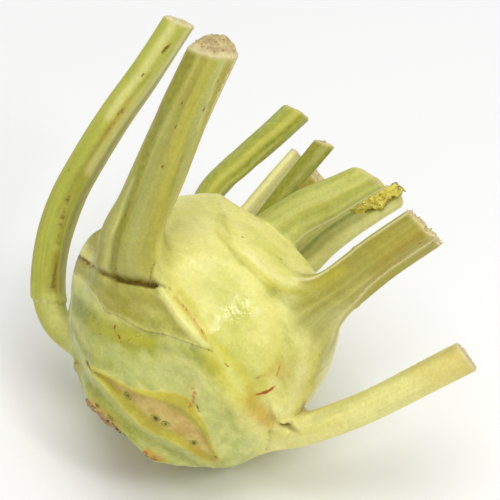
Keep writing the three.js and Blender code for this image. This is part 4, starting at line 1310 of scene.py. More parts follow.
def skinFinish(name, look, glossier=0.0):
    f = Finish(name)
    mottle = f.noise(75, 4, 0.62)
    fine = f.noise(520, 4, 0.65)
    fibre, course = f.mask("fibre"), f.mask("course")
    grain = f.mask("grain", "Vector")
    broad = f.noise(0.3, 3, 0.5, grain)
    streak = f.noise(0.8, 4, 0.62, grain)
    thread = f.noise(3.2, 3, 0.6, grain)
    # the stem's own grain runs round it
    girth = f.noise(0.34, 4, 0.62, f.mask("stem", "Vector"), (0.3, 0.3, 1))
    colour = f.mix(f.span(f.plus(f.times(mottle, 0.6), f.times(girth, 0.4)), 0.34, 0.7, 0, 0.7),
                   tone(*look["flesh"]), tone(*look["fleshDeep"]))

    def level(mask, spread, noise, low=0.0, high=1.0):
        # the edge of each patch is broken up by the noise
        value = f.mask(mask)
        wobble = f.times(f.minus(noise, 0.5), spread)
        value = f.plus(value, f.times(wobble, f.span(value, 0.02, 0.25)))
        return f.span(value, low, high)

    def laid(share, name):
        return f.mix(share, colour, tone(*look[name]))

    # greens: cloudy on the stem, in long streaks on the stalks
    greenTone = f.mix(f.span(fine, 0.35, 0.7), tone(*look["green"]), tone(*look["deepGreen"]))
    run = f.mixValue(course, girth, broad)
    colour = laid(f.times(level("lime", 0.6, run), 0.85), "lime")
    greenLevel = level("green", 0.75, run)
    colour = f.mix(f.times(greenLevel, 0.88), colour, greenTone)
    colour = laid(f.times(level("tan", 0.8, f.mixValue(course, mottle, broad)), 0.88), "tan")
    colour = laid(f.times(level("yellow", 0.6, f.mixValue(course, mottle, broad)), 0.85), "yellow")
    streaks = f.times(f.span(streak, 0.44, 0.7), f.times(fibre, 0.5))
    colour = f.mix(streaks, colour, greenTone)
    threads = f.times(f.span(thread, 0.54, 0.76), f.times(fibre, 0.4))
    colour = laid(threads, "cream")
    # the waxy bloom lies in cloudy patches with fine pale speckles
    cloud = f.mixValue(course, f.span(f.noise(95, 5, 0.65), 0.34, 0.64), f.span(streak, 0.34, 0.64))
    bloomLevel = f.times(f.mask("bloom"), f.plus(f.times(cloud, 0.32), 0.5))
    colour = laid(f.times(bloomLevel, 0.8), "bloom")
    pale = f.span(f.cells(760), 0.08, 0.3, 1, 0)
    pale = f.times(pale, f.span(f.noise(150, 3), 0.42, 0.66))
    pale = f.times(pale, f.plus(f.times(bloomLevel, 0.5), 0.18))
    colour = laid(pale, "cream")
    colour = laid(level("cream", 0.3, fine), "cream")
    # the scar: peach in the middle, yellow and olive towards its rims
    scar = f.mask("scar")
    scarTone = f.mix(f.span(f.noise(190, 4, 0.6), 0.36, 0.66), tone(*look["scar"]), tone(*look["scarDeep"]))
    rimTone = f.mix(f.span(mottle, 0.4, 0.62), tone(*look["scarYellow"]), tone(*look["scarOlive"]))
    scarTone = f.mix(level("scarFace", 0.5, mottle), rimTone, scarTone)
    colour = f.mix(level("scar", 0.4, mottle), colour, scarTone)
    # freckles of darker cells and small brown specks
    freckle = f.span(f.cells(340), 0.1, 0.24, 1, 0)
    freckle = f.times(freckle, f.span(f.noise(60, 2), 0.47, 0.62))
    freckle = f.times(freckle, f.span(course, 0, 1, 0.22, 0.1))
    colour = laid(freckle, "green")
    speck = f.span(f.cells(120), 0.03, 0.085, 1, 0)
    speck = f.times(speck, f.span(f.noise(31, 2), 0.55, 0.62))
    colour = laid(f.times(speck, 0.6), "brown")
    colour = laid(f.times(level("amber", 0.5, mottle), 0.8), "amber")
    colour = laid(level("warm", 1.5, fine, 0.25, 0.75), "warm")
    colour = laid(level("brown", 1.1, fine, 0.28, 0.6), "brown")
    # dark: painted shade in the crack, the split and the pocket, and the skin's own dark lines elsewhere
    darkLevel = f.times(f.mask("dark"), f.span(fine, 0.2, 0.6, 0.7, 1.0), clamp=True)
    colour = laid(f.span(darkLevel, 0.12, 1.0), "dark")
    colour = laid(f.times(f.mask("rim"), 0.75), "lip")
    # fine unevenness of the whole colour
    shade = f.span(f.noise(1000, 4, 0.7), 0.3, 0.7, 0.94, 1.05)
    shade = f.times(shade, f.span(f.noise(240, 3), 0.3, 0.7, 0.97, 1.03))
    colour = f.scaled(colour, shade)
    f.drive("Base Color", colour)
    wax = look["gloss"]
    gloss = f.span(f.noise(240, 4, 0.6), 0.3, 0.75, wax - 0.06 - glossier, wax + 0.16 - glossier)
    gloss = f.minus(gloss, f.times(f.mask("wet"), 0.23))
    gloss = f.plus(gloss, f.times(bloomLevel, 0.25))
    gloss = f.plus(gloss, f.times(scar, 0.2))
    gloss = f.plus(gloss, f.times(f.mask("brown"), 0.3), clamp=True)
    f.drive("Roughness", gloss)
    normal = f.bump(f.noise(1500, 3, 0.6), 0.5, 0.00006)
    normal = f.bump(f.noise(420, 3, 0.55), 0.4, 0.00022, normal)
    creped = f.times(f.noise(520, 2, 0.5, None, (1, 1, 0.4)), f.mask("wet"))
    normal = f.bump(creped, 0.24, 0.0005, normal)
    ribs = f.times(f.plus(streak, f.times(thread, 0.6)), fibre)
    normal = f.bump(ribs, 0.5, 0.0007, normal)
    f.drive("Normal", normal)
    f.drive("Subsurface Weight", 0.08)
    f.drive("Subsurface Radius", (0.0014, 0.0011, 0.0004))
    f.drive("Subsurface Scale", 1.0)
    f.drive("IOR", 1.37)
    return f.material


fleshSkin = skinFinish("waxySkin", skinLook)
stalkFinishes = {
    "stalk_pale": skinFinish("paleStalk", skinLook, -0.1),
    "stalk_olive": skinFinish("oliveStalk", skinLook, -0.08),
    "stalk_green": skinFinish("greenStalk", skinLook, -0.04),
}


def cutFinish():
    # dried cut flesh: cream and tan, with the fibres' ends as darker dots
    f = Finish("cutFlesh")
    patches = f.span(f.noise(230, 4, 0.65), 0.32, 0.66)
    colour = f.mix(patches, tone(228, 220, 168), tone(206, 188, 122))
    dried = f.mix(f.span(f.noise(380, 5, 0.7), 0.34, 0.62), tone(196, 174, 118), tone(152, 122, 70))
    colour = f.mix(f.times(f.mask("dry"), 0.85), colour, dried)
    dots = f.span(f.cells(560), 0.14, 0.36, 1, 0)
    colour = f.mix(f.times(dots, 0.35), colour, tone(150, 116, 66))
    veins = f.span(f.cells(300, "DISTANCE_TO_EDGE"), 0.02, 0.09, 1, 0)
    colour = f.mix(f.times(veins, 0.3), colour, tone(226, 212, 172))
    colour = f.mix(f.times(f.mask("rim"), 0.8), colour, tone(222, 210, 156))
    f.drive("Base Color", colour)
    f.drive("Roughness", f.span(f.noise(300, 3), 0.3, 0.7, 0.6, 0.9))
    normal = f.bump(f.noise(800, 4, 0.7), 0.7, 0.0003)
    normal = f.bump(f.cells(560), 0.5, 0.0003, normal)
    f.drive("Normal", normal)
    return f.material


cutFlesh = cutFinish()


def addSkinPiece(name, points, faces, masks, finish, node):
    piece = meshPiece(name, points, faces, masks)
    piece.data.materials.append(finish)
    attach(piece, "root")
    if node:
        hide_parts(node)
    return piece


points, faces, directions = bulbMesh()
masks = blended(points, skinMasks(points))
addSkinPiece("bulb_skin", points, faces, masks, fleshSkin, "bulb")
print("stem built", len(faces))

for name, stalk in stalks.items():
    points, faces, marks = stalkMesh(stalk)
    masks = blended(points, skinMasks(points), name)
    masks["rim"] = marks["rim"]
    masks["dry"] = marks["dry"]
    finish = stalkFinishes[stalk["slot"]]
    piece = addSkinPiece(name + "_skin", points, faces, masks, finish, name)
    piece.data.materials.append(cutFlesh)
    onCut = marks["cutFace"] > 0.5
    piece.data.polygons.foreach_set("material_index", [int(all(onCut[v] for v in face)) for face in faces])
print("stalks built")

# the growing tip, the leaf scrap and the cork

bud = {
    "azimuth": 190, "across": 7, "base": 32, "radius": 3.1, "tall": 11, "folds": 3, "fold": 0.24,
    "lean": (1, -0.8), "sides": 72, "rings": 46,
}


def tube(rings, start, end):
    # closes rings of points to a body, with one point at either end
    count, sides = len(rings), len(rings[0])
    points = np.concatenate([*rings, [start], [end]])
    faces = []
    for ring in range(count - 1):
        for i in range(sides):
            j = (i + 1) % sides
            a, b = ring * sides, (ring + 1) * sides
            faces.append([i + a, j + a, j + b, i + b])
    last = (count - 1) * sides
    faces += [[(i + 1) % sides, i, count * sides] for i in range(sides)]
    faces += [[last + i, last + (i + 1) % sides, count * sides + 1] for i in range(sides)]
    return points, faces


def budMesh():
    # young leaves folded round one another, their margins pleated
    turn = math.radians(bud["azimuth"])
    foot = np.array([bud["across"] * math.cos(turn), bud["across"] * math.sin(turn), bud["base"]])
    angle = np.arange(bud["sides"]) / bud["sides"] * 2 * np.pi
    rings = []
    for rise in np.linspace(0, 0.985, bud["rings"]):
        share = np.interp(rise, [0, 0.25, 0.5, 0.72, 0.9, 1], [1, 1.1, 0.98, 0.72, 0.38, 0.06])
        folded = bud["folds"] * angle + 4 * rise
        pleat = bud["fold"] * (np.abs(np.sin(folded / 2)) ** 0.7 * 2 - 1.1)
        pleat = pleat + 0.05 * np.sin(11 * angle + 9 * rise)
        reach = bud["radius"] * share * (1 + pleat)
        lean = np.array([*bud["lean"], 0]) * rise**2
        rings.append(foot + lean + np.stack([reach * np.cos(angle), reach * np.sin(angle),
                     np.full_like(angle, rise * bud["tall"])], axis=1))
    return tube(rings, foot, foot + np.array([*bud["lean"], bud["tall"]]))


points, faces = budMesh()
rise = np.clip((points[:, 2] - bud["base"]) / bud["tall"], 0, 1)
budMasks = {name: np.zeros(len(points)) for name in maskNames}
budMasks.update(
    green=0.35 + 0.4 * rise, tan=0.2 + 0.6 * rise**3, brown=0.75 * smoothRise((rise - 0.86) / 0.1),
    fibre=np.full(len(points), 0.5), course=np.ones(len(points)),
    grain=points * np.array([1, 1, 0.1]), stem=points)
finish = stalkFinishes["stalk_green"]
addSkinPiece("crown_bud_leaves", points, faces, budMasks, finish, "crown_bud")

scrap = {
    "thick": 0.5, "long": 18, "wide": 8, "steps": 120, "rows": 36, "frill": 0.9, "above": 0.95,
    "teeth": 0.9, "crumple": 0.55,
}
crumples = [Lumps(size, 1) for size in (4.6, 2.2, 1.1)]


def scrapMesh():
    # a torn strip of blade, frilled along its free edge and toothed at its end
    stalk = stalks["stalk_7"]
    end, along, upper = stalk["centre"][-1], stalk["tangent"][-1], stalk["upper"][-1]
    across = stalk["across"][-1]
    u, v = np.meshgrid(np.linspace(0, 1, scrap["steps"]), np.linspace(0, 1, scrap["rows"]), indexing="ij")
    u, v = u.ravel(), v.ravel()
    torn = scrap["teeth"] * (np.abs(((v * 3.6 + 0.3) % 1) - 0.5) * 2 - 0.5) + 0.5 * np.sin(23 * v)
    free = 0.45 * np.sin(31 * u) + 0.35 * np.sin(57 * u + 1) + 0.4 * np.sin(13 * u + 2)
    reach = scrap["wide"] * (0.55 + 0.45 * np.sin(np.pi * (0.1 + 0.8 * u)))
    reach = reach + free * smoothRise(1 - v * 2.2)
    length = scrap["long"] + torn * smoothRise((u - 0.72) / 0.28)
    wave = scrap["frill"] * (1 - v) * np.sin(11 * u + 2 * v) - 1.5 * (1 - v) ** 2
    base = end + np.outer((u - 0.88) * length, along)
    base = base + np.outer((v - 0.85) * reach - 3.4 * (u - 0.4), across)
    rough = crumples[0].at(base) * 0.6 + crumples[1].at(base) * 0.3 + crumples[2].at(base) * 0.13
    lift = stalk["wide"][2] * stalk["thick"] + scrap["above"] + 0.25 + wave + scrap["crumple"] * rough
    lift = lift + 1.1 * smoothRise((u - 0.7) / 0.3) * (1 - v) - 2.0 * smoothRise((0.34 - u) / 0.34)
    rim = np.minimum(np.minimum(u, 1 - u) * 18, np.minimum(v, 1 - v) * 8)
    half = 0.5 * scrap["thick"] * (0.45 + 0.55 * smoothRise(rim / 0.8))
    under = base + np.outer(lift - half, upper)
    over = base + np.outer(lift + half, upper)
    count, rows = scrap["steps"], scrap["rows"]
    number = np.arange(count * rows).reshape(count, rows)
    a, b, c, d = (g.ravel() for g in (number[:-1, :-1], number[1:, :-1], number[1:, 1:], number[:-1, 1:]))
    shift = count * rows
    faces = [*np.stack([d, c, b, a], axis=1),
             *np.stack([a + shift, b + shift, c + shift, d + shift], axis=1)]
    edges = [(number[:-1, 0], number[1:, 0]), (number[1:, -1], number[:-1, -1]),
             (number[0, 1:], number[0, :-1]), (number[-1, :-1], number[-1, 1:])]
    for first, second in edges:
        faces += [*np.stack([first, second, second + shift, first + shift], axis=1)]
    edge = np.tile(smoothRise(1 - rim / 0.9), 2)
    # the underside, which the finish paints in shade
    back = np.concatenate([np.ones(len(u)), np.zeros(len(u))])
    masks = dict(edge=edge, end=np.tile(smoothRise((u - 0.86) / 0.1), 2), back=back)
    return np.concatenate([under, over]), faces, masks


def scrapFinish():
    f = Finish("yellowLeaf")
    mottle = f.noise(260, 4, 0.65)
    colour = f.mix(f.span(mottle, 0.35, 0.66), tone(232, 216, 92), tone(202, 186, 58))
    colour = f.mix(f.span(f.noise(120, 3), 0.52, 0.68), colour, tone(166, 164, 50))
    veins = f.span(f.cells(420, "DISTANCE_TO_EDGE"), 0.02, 0.08, 1, 0)
    colour = f.mix(f.times(veins, 0.35), colour, tone(226, 212, 110))
    pits = f.span(f.cells(700), 0.12, 0.3, 1, 0)
    colour = f.mix(f.times(pits, f.times(f.span(f.noise(90, 2), 0.42, 0.6), 0.6)), colour, tone(92, 96, 26))
    edge = f.times(f.mask("edge"), f.span(f.noise(330, 3), 0.4, 0.56))
    colour = f.mix(f.times(edge, 0.75), colour, tone(84, 88, 24))
    colour = f.mix(f.times(f.mask("end"), f.span(f.noise(300, 2), 0.46, 0.56)), colour, tone(60, 76, 30))
    # painted shade: the underside is darker
    colour = f.mix(f.times(f.mask("back"), 0.4), colour, tone(186, 168, 60))
    f.drive("Base Color", colour)
    f.drive("Roughness", f.span(mottle, 0.3, 0.7, 0.42, 0.65))
    normal = f.bump(f.cells(420), 0.6, 0.0004)
    normal = f.bump(f.noise(800, 3), 0.4, 0.0002, normal)
    f.drive("Normal", normal)
    f.drive("Subsurface Weight", 0.1)
    f.drive("Subsurface Radius", (0.001, 0.001, 0.0003))
    return f.material


yellowLeaf = scrapFinish()
points, faces, scrapMarks = scrapMesh()
addSkinPiece("blade_scrap_leaf", points, faces, scrapMarks, yellowLeaf, "blade_scrap")

root = {
    "radius": 13.8, "middle": (-0.3, 0), "top": -38.6, "low": -41.9, "hollow": 1.2,
    "rings": 44, "sides": 150,
    "flare": 1.1, "cracks": 9, "crackDepth": 0.45,
}
barkLumps = [Lumps(size, 1) for size in (5, 2.2, 0.9)]


def rootMesh():
    # a dried cut: a bark ring with chips in it, the hollow wood and cracks running out from it
    angle = np.arange(root["sides"]) / root["sides"] * 2 * np.pi
    low = root["low"] + 1.3 * bell((angle - 2.85) / 0.5)
    outline = root["radius"] - 0.5
    for height, waves, turn in ((0.25, 3, 1), (0.16, 7, 0), (0.12, 17, 2)):
        outline = outline + height * np.sin(waves * angle + turn)
    starts = np.sort(dice.uniform(0, 2 * np.pi, root["cracks"]))
    inner = dice.uniform(0.2, 0.6, root["cracks"])
    rings, wood, depth = [], [], []
    top = [(share, None) for share in np.linspace(0.1, 0.97, 7)]
    side = [(1.0, t) for t in np.linspace(0, 1, 7)]
    bottom = [(share, 2) for share in np.linspace(0.985, 0.04, root["rings"])]
    for share, kind in top + side + bottom:
        reach = outline * share
        x, y = reach * np.cos(angle) + root["middle"][0], reach * np.sin(angle) + root["middle"][1]
        cracked = np.zeros_like(angle)
        if kind is None:
            z = np.full_like(angle, root["top"])
        elif kind <= 1:
            bulge = 0.35 * math.sin(math.pi * kind)
            grain = np.stack([x, y, np.full_like(x, kind * 2)], axis=1)
            swell = bulge + root["flare"] * kind**2
            swell = swell + 0.16 * barkLumps[1].at(grain) * math.sin(math.pi * kind)
            x, y = x + swell * np.cos(angle), y + swell * np.sin(angle)
            z = root["top"] + (low - root["top"]) * kind
        else:
            x, y = x + root["flare"] * np.cos(angle) * share, y + root["flare"] * np.sin(angle) * share
            at = np.stack([x, y, np.zeros_like(x)], axis=1)
            z = low + 0.5 * smoothRise((share - 0.93) / 0.06)
            z = z + root["hollow"] * (1 - smoothRise((share - 0.45) / 0.4))
            z = z - 0.35 * bell((share - 0.9) / 0.06)
            z = z + 0.5 * bell((share - 0.8) / 0.04)
            z = z + 0.26 * barkLumps[0].at(at) + 0.12 * barkLumps[1].at(at) + 0.06 * barkLumps[2].at(at)
            for start, first in zip(starts, inner):
                wander = 0.12 * np.sin(9 * share + start * 5)
                turn = (angle - start - wander + np.pi) % (2 * np.pi) - np.pi
                line = bell(turn * reach / 0.32) * smoothRise((share - first) / 0.15)
                cracked = np.maximum(cracked, line * smoothRise((1 - share) / 0.08))
            z = z + root["crackDepth"] * cracked
        z = np.minimum(z, root["top"])
        rings.append(np.stack([x, y, z], axis=1))
        wood.append(np.full_like(angle, smoothRise((0.84 - share) / 0.1) if kind == 2 else 0))
        depth.append(cracked)
    middle = np.array([*root["middle"], root["low"] + root["hollow"]])
    points, faces = tube([ring[::-1] for ring in rings], np.array([*root["middle"], root["top"]]), middle)
    wood = np.concatenate([*[w[::-1] for w in wood], [0, 1]])
    depth = np.concatenate([*[d[::-1] for d in depth], [0, 0]])
    return points, faces, dict(wood=wood, depth=depth)


def corkFinish():
    f = Finish("rootCork")
    patches = f.noise(190, 5, 0.68)
    fine = f.noise(700, 4, 0.7)
    bark = f.mix(f.span(patches, 0.36, 0.64), tone(198, 160, 108), tone(160, 120, 72))
    bark = f.mix(f.span(f.noise(110, 3), 0.5, 0.66), bark, tone(206, 172, 120))
    woodTone = f.mix(f.span(patches, 0.38, 0.64), tone(214, 190, 142), tone(176, 140, 92))
    colour = f.mix(f.mask("wood"), bark, woodTone)
    colour = f.mix(f.span(fine, 0.6, 0.76, 0, 0.5), colour, tone(120, 86, 50))
    colour = f.mix(f.span(f.mask("depth"), 0.35, 1.0, 0, 0.8), colour, tone(92, 64, 34))
    f.drive("Base Color", colour)
    f.drive("Roughness", f.span(fine, 0.3, 0.7, 0.78, 0.95))
    normal = f.bump(f.cells(420), 0.6, 0.0005)
    normal = f.bump(fine, 0.8, 0.0004, normal)
    f.drive("Normal", normal)
    return f.material


rootCork = corkFinish()
points, faces, rootMarks = rootMesh()
addSkinPiece("root_cut_cork", points, faces, rootMarks, rootCork, "root_cut")
print("small parts built")

# what repeats: bundles, fibres, flakes and pimples


def scatterTree():
    # one shape set on every point of a mesh, turned to "facing" and scaled by "size"
    tree = bpy.data.node_groups.new("shapesOnPoints", "GeometryNodeTree")
    face = tree.interface
    face.new_socket("Geometry", in_out="INPUT", socket_type="NodeSocketGeometry")
    sockets = dict(Shape="Object", Seed="Int", Unevenness="Float", Finish="Material")
    for label, kind in sockets.items():
        face.new_socket(label, in_out="INPUT", socket_type="NodeSocket" + kind)
    face.new_socket("Geometry", in_out="OUTPUT", socket_type="NodeSocketGeometry")
    nodes, links = tree.nodes, tree.links
    given, made = nodes.new("NodeGroupInput"), nodes.new("NodeGroupOutput")
    shape = nodes.new("GeometryNodeObjectInfo")
    links.new(given.outputs["Shape"], shape.inputs["Object"])
    facing, size = (nodes.new("GeometryNodeInputNamedAttribute") for _ in range(2))
    facing.data_type, size.data_type = "FLOAT_VECTOR", "FLOAT"
    facing.inputs["Name"].default_value, size.inputs["Name"].default_value = "facing", "size"
    align = nodes.new("FunctionNodeAlignRotationToVector")
    align.axis = "Z"
    links.new(facing.outputs[0], align.inputs["Vector"])
    spin, uneven = (nodes.new("FunctionNodeRandomValue") for _ in range(2))
    for node in (spin, uneven):
        node.data_type = "FLOAT"
        links.new(given.outputs["Seed"], node.inputs["Seed"])
    for socket in spin.inputs:
        if socket.name == "Max" and socket.type == "VALUE":
            socket.default_value = 2 * math.pi
    about = nodes.new("FunctionNodeAxisAngleToRotation")
    about.inputs["Axis"].default_value = (0, 0, 1)
    links.new(next(o for o in spin.outputs if o.type == "VALUE" and o.enabled), about.inputs["Angle"])
    turned = nodes.new("FunctionNodeRotateRotation")
    turned.rotation_space = "LOCAL"
    links.new(align.outputs[0], turned.inputs[0])
    links.new(about.outputs[0], turned.inputs[1])
    less, more, scale = (nodes.new("ShaderNodeMath") for _ in range(3))
    less.operation, more.operation, scale.operation = "SUBTRACT", "ADD", "MULTIPLY"
    less.inputs[0].default_value = more.inputs[0].default_value = 1
    links.new(given.outputs["Unevenness"], less.inputs[1])
    links.new(given.outputs["Unevenness"], more.inputs[1])
    for socket in uneven.inputs:
        if socket.type == "VALUE" and socket.name in ("Min", "Max"):
            links.new((less if socket.name == "Min" else more).outputs[0], socket)
    links.new(next(o for o in uneven.outputs if o.type == "VALUE" and o.enabled), scale.inputs[0])
    links.new(size.outputs[0], scale.inputs[1])
    place = nodes.new("GeometryNodeInstanceOnPoints")
    whole, finish = nodes.new("GeometryNodeRealizeInstances"), nodes.new("GeometryNodeSetMaterial")
    for source, socket in (
        (given.outputs["Geometry"], place.inputs["Points"]),
        (shape.outputs["Geometry"], place.inputs["Instance"]),
        (turned.outputs[0], place.inputs["Rotation"]),
        (scale.outputs[0], place.inputs["Scale"]),
        (place.outputs[0], whole.inputs[0]),
        (whole.outputs[0], finish.inputs["Geometry"]),
        (given.outputs["Finish"], finish.inputs["Material"]),
        (finish.outputs[0], made.inputs[0]),
    ):
        links.new(source, socket)
    return tree


shapesOnPoints = scatterTree()


def turnedShape(name, profile, sides):
    # a small body turned about Z from [radius, height], one millimetre to the unit
    angle = np.arange(sides) / sides * 2 * np.pi
    rings = [np.stack([r * np.cos(angle), r * np.sin(angle), np.full_like(angle, z)], axis=1)
             for r, z in profile[1:-1]]
    points, faces = tube(rings, np.array([0, 0, profile[0][1]]), np.array([0, 0, profile[-1][1]]))
    return plainShape(name, points, faces)


def plainShape(name, points, faces):
    mesh = bpy.data.meshes.new(name)
    corners = (np.asarray(points, float) * mm).tolist()
    mesh.from_pydata(corners, [], [list(map(int, face)) for face in faces])
    mesh.shade_smooth()
    return bpy.data.objects.new(name, mesh)


def bentFibre(name, length, thick, bend):
    angle = np.arange(5) / 5 * 2 * np.pi
    rings = []
    for t in np.linspace(0, 1, 6):
        r = thick * (1 - 0.75 * t)
        x = r * np.cos(angle) + bend * t * t
        y = r * np.sin(angle) + 0.3 * bend * np.sin(5 * t)
        rings.append(np.stack([x, y, np.full(5, length * t - 0.3)], axis=1))
    return plainShape(name, *tube(rings, rings[0].mean(axis=0), rings[-1].mean(axis=0) + [0, 0, 0.05]))


def scattered(name, places, facings, sizes, shape, finish, seed, unevenness=0.25):
    # everything in the stem's frame and millimetres; returns the finished plain mesh
    mesh = bpy.data.meshes.new(name + "Places")
    mesh.from_pydata(laidDown(np.asarray(places, float)).tolist(), [], [])
    facing = mesh.attributes.new("facing", "FLOAT_VECTOR", "POINT")
    turned = unit(np.asarray(facings, float)) @ stemToRow.T
    facing.data.foreach_set("vector", turned.astype(np.float32).ravel())
    size = mesh.attributes.new("size", "FLOAT", "POINT")
    size.data.foreach_set("value", np.broadcast_to(sizes, len(places)).astype(np.float32))
    carrier = bpy.data.objects.new(name + "Places", mesh)
    for part in (carrier, shape):
        bpy.context.scene.collection.objects.link(part)
    modifier = carrier.modifiers.new("shapes", "NODES")
    modifier.node_group = shapesOnPoints
    wanted = {"Shape": shape, "Seed": seed, "Unevenness": unevenness, "Finish": finish}
    for socket in shapesOnPoints.interface.items_tree:
        if socket.in_out == "INPUT" and socket.name in wanted:
            modifier[socket.identifier] = wanted[socket.name]
    carrier.update_tag()
    bpy.context.view_layer.update()
    shown = carrier.evaluated_get(bpy.context.evaluated_depsgraph_get())
    made = bpy.data.meshes.new_from_object(shown)
    made.name = name
    piece = placed(name, made)
    for part in (carrier, shape):
        bpy.data.objects.remove(part, do_unlink=True)
    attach(piece, "root")
    return piece


def ringFinish(name, light, dark, rough=0.5):
    f = Finish(name)
    colour = f.mix(f.span(f.noise(600, 3), 0.35, 0.65), tone(*light), tone(*dark))
    f.drive("Base Color", colour)
    f.drive("Roughness", f.span(f.noise(900, 2), 0.3, 0.7, rough - 0.08, rough + 0.15))
    f.drive("Normal", f.bump(f.noise(1400, 3), 0.5, 0.0001))
    return f.material


# the old leaf's bundles in the scar: azimuth, latitude and size
scarDots = [
    (-27, -51.6, 1.1), (-10, -53, 1.6), (14, -52.2, 1.7), (21.5, -50.8, 1.45), (44, -47.2, 1.5),
    (62, -43, 1.0), (-37, -52, 0.8),
]
at = onSkin(*np.array(scarDots)[:, :2].T)
east = unit(np.cross([0, 0, 1], at))
north = np.cross(at, east)
spots = at * wholeSkin(at)[:, None]
tilt = [unit(at + step * 0.02) for step in (east, north)]
besides = [t * wholeSkin(t)[:, None] - spots for t in tilt]
scarFacing = unit(np.cross(besides[0], besides[1]))
ringShape = turnedShape("bundleRing", [
    (0, -0.3), (1.12, -0.25), (1.0, -0.01), (0.85, 0.06), (0.68, 0.08), (0.5, 0.03), (0.38, -0.05),
    (0.2, -0.02), (0, 0)], 16)
scattered("scar_bundles", spots, scarFacing, np.array(scarDots)[:, 2], ringShape,
          ringFinish("bundleOlive", (186, 172, 72), (150, 138, 44)), 3, 0.1)
coreShape = turnedShape("bundleCore", [
    (0, -0.3), (0.5, -0.2), (0.46, 0.0), (0.3, 0.05), (0.14, 0.02), (0, 0.0)], 12)
scattered("scar_bundle_cores", spots, scarFacing, np.array(scarDots)[:, 2], coreShape,
          ringFinish("bundleDark", (124, 118, 34), (90, 82, 22)), 4, 0.15)

# the bundles' ends stand in a ring inside every cut, with a few nearer its middle
cutBundles = {"rings": ((3, 6), (5, 11), (8, 19)), "stray": 0.22, "lean": 0.15, "sizes": (0.26, 0.5)}
places, facings, sizes = [], [], []
for name, stalk in stalks.items():
    for ring, step in cutBundles["rings"]:
        for i in range(ring % step, stalkForm["sides"], step):
            places.append(stalk["cap"][ring][i] + dice.normal(0, cutBundles["stray"], 3))
            facings.append(stalk["capNormal"] + dice.normal(0, cutBundles["lean"], 3))
            size = dice.uniform(*cutBundles["sizes"]) * max(stalk["wide"][2], 4.5) / 8
            sizes.append(size * (0.55 + 0.5 * stalk["dry"]))
nub = turnedShape("bundleEnd", [(0, -0.6), (1, -0.5), (0.95, 0.1), (0.6, 0.42), (0.25, 0.34), (0, 0.25)], 8)
scattered("cut_bundles", places, facings, sizes, nub,
          ringFinish("bundleTan", (210, 190, 134), (172, 142, 86), 0.7), 5)

# loose fibres along the torn cuts
fibres = {
    "counts": dict(stalk_5=46, stalk_3=20, stalk_2=8, stalk_4=8, stalk_8=8, stalk_7=6, stalk_10=5),
    "long": 1.9, "thick": 0.22, "bend": 0.8, "inward": -0.8, "outward": 0.6, "sizes": (0.35, 0.85),
}
places, facings, sizes = [], [], []
for name, count in fibres["counts"].items():
    stalk = stalks[name]
    for _ in range(count):
        ring = dice.integers(0, 3)
        i = dice.integers(0, stalkForm["sides"])
        spot = stalk["cap"][ring][i]
        places.append(spot)
        swing = dice.uniform(fibres["inward"], fibres["outward"])
        aside = unit(spot - stalk["cap"][-1][0]) * swing
        facings.append(stalk["capNormal"] * 0.7 + aside + dice.normal(0, 0.3, 3))
        sizes.append(dice.uniform(*fibres["sizes"]) * (1 if name == "stalk_5" else 0.6))
strand = bentFibre("fibre", fibres["long"], fibres["thick"], fibres["bend"])
scattered("cut_fibres", places, facings, sizes, strand,
          ringFinish("fibreCream", (232, 216, 172), (190, 156, 104), 0.7), 7, 0.4)

# chips of bark round the root cut and flakes on its face
flakes = {"count": 150, "reach": 13.2, "lean": 0.3, "sizes": (0.3, 0.85)}
places, facings, sizes = [], [], []
for _ in range(flakes["count"]):
    a, share = dice.uniform(0, 2 * np.pi), dice.uniform(0.2, 1) ** 0.6 * 0.86
    x, y = math.cos(a), math.sin(a)
    reach, lean = flakes["reach"] * share, flakes["lean"]
    places.append([root["middle"][0] + reach * x, root["middle"][1] + reach * y,
                   root["low"] + 0.1 + root["hollow"] * (1 - float(smoothRise((share - 0.45) / 0.4)))])
    facings.append(np.array([lean * x, lean * y, -1]) + dice.normal(0, 0.3, 3))
    sizes.append(dice.uniform(*flakes["sizes"]) * (1 if share < 0.85 else 0.6))
chip = plainShape("chip", [
    (1, 0, 0.1), (0.6, 0.9, 0.25), (-0.3, 0.8, 0.1), (-1, 0.2, 0.2), (-0.7, -0.7, 0.05), (0.4, -0.8, 0.22),
    (0.7, 0, -0.4), (0, 0.6, -0.4), (-0.7, 0, -0.4), (0, -0.5, -0.4), (0, 0, 0.32)], [
    (0, 1, 10), (1, 2, 10), (2, 3, 10), (3, 4, 10), (4, 5, 10), (5, 0, 10), (1, 0, 6, 7), (3, 2, 7, 8),
    (2, 1, 7), (4, 3, 8), (5, 4, 8, 9), (0, 5, 9, 6), (6, 9, 8, 7)])
scattered("cork_flakes", places, facings, sizes, chip,
          ringFinish("flakeBrown", (184, 146, 98), (128, 94, 54), 0.85), 9, 0.35)

# pimples crowd the lower corner of the leaf scrap
pimples = {"count": 95, "across": (0.04, 0.66), "down": (0.04, 0.8), "sizes": (0.16, 0.36)}
places, facings, sizes = [], [], []
count, rows = scrap["steps"], scrap["rows"]
scrapPoints = scrapMesh()[0]
for _ in range(pimples["count"]):
    i, j = int(dice.uniform(*pimples["across"]) * count), int(dice.uniform(*pimples["down"]) * rows)
    places.append(scrapPoints[count * rows + i * rows + j])
    facings.append(stalks["stalk_7"]["upper"][-1] + dice.normal(0, 0.12, 3))
    sizes.append(dice.uniform(*pimples["sizes"]))
pimple = turnedShape("pimple", [(0, -0.5), (1, -0.4), (0.92, 0.3), (0.55, 0.72), (0.2, 0.84), (0, 0.86)], 7)
scattered("scrap_pimples", places, facings, sizes, pimple,
          ringFinish("pimpleYellow", (222, 206, 96), (150, 142, 44), 0.5), 11, 0.3)
print("small shapes scattered")

# floor, light and camera

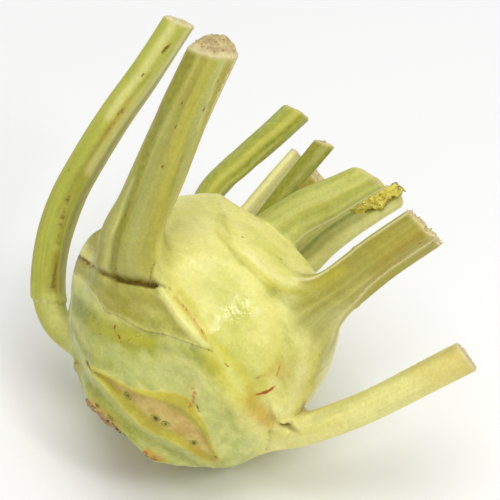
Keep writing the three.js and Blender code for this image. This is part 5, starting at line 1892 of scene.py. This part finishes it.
studio = {
    "floorHalf": 4, "floorTone": (0.93, 0.93, 0.93, 1), "floorRough": 0.9,
    "skyTone": (1, 1, 1, 1), "sky": 0.53, "litSpot": (0, 0, 0.05),
    # place, width, height and power
    "lamps": {
        "keyLight": ((0.5, -0.61, 0.92), 0.17, 0.34, 2.6),
        "topLight": ((0.12, -0.2, 1.55), 1.2, 1.2, 11.8),
    },
}
floorMesh = bpy.data.meshes.new("floor")
half = studio["floorHalf"]
floorMesh.from_pydata(
    [(-half, -half, 0), (half, -half, 0), (half, half, 0), (-half, half, 0)], [], [(0, 1, 2, 3)])
floor = placed("floor", floorMesh)
floorFinish = Finish("paleFloor")
floorFinish.drive("Base Color", studio["floorTone"])
floorFinish.drive("Roughness", studio["floorRough"])
floor.data.materials.append(floorFinish.material)

view = {"elevation": 40, "distance": 0.7, "sensor": 36, "framed": 0.16667, "aim": (16.667, 27)}


def addCamera():
    e = math.radians(view["elevation"])
    right = Vector((1, 0, 0))
    up = Vector((0, math.sin(e), math.cos(e)))
    back = Vector((0, -math.cos(e), math.sin(e)))
    look = Vector((0, 0, lying["height"] * mm)) + right * view["aim"][0] * mm + up * view["aim"][1] * mm
    data = bpy.data.cameras.new("camera")
    data.sensor_width = view["sensor"]
    data.lens = view["sensor"] * view["distance"] / view["framed"]
    data.clip_end = 20
    camera = placed("camera", data)
    turn = Matrix((right, up, back)).transposed().to_4x4()
    camera.matrix_world = Matrix.Translation(look + back * view["distance"]) @ turn
    bpy.context.scene.camera = camera


def addLamp(name, place, wide, tall, power):
    data = bpy.data.lights.new(name, "AREA")
    data.shape = "ELLIPSE"
    data.size = wide
    data.size_y = tall
    data.energy = power
    lamp = placed(name, data)
    lamp.location = place
    lamp.rotation_euler = (Vector(studio["litSpot"]) - Vector(place)).to_track_quat("-Z", "Y").to_euler()


addCamera()
for name, lamp in studio["lamps"].items():
    addLamp(name, *lamp)
world = bpy.data.worlds.new("studio")
world.use_nodes = True
sky = world.node_tree.nodes["Background"]
sky.inputs["Color"].default_value = studio["skyTone"]
sky.inputs["Strength"].default_value = studio["sky"]
bpy.context.scene.world = world
bpy.context.scene.view_settings.view_transform = "Standard"
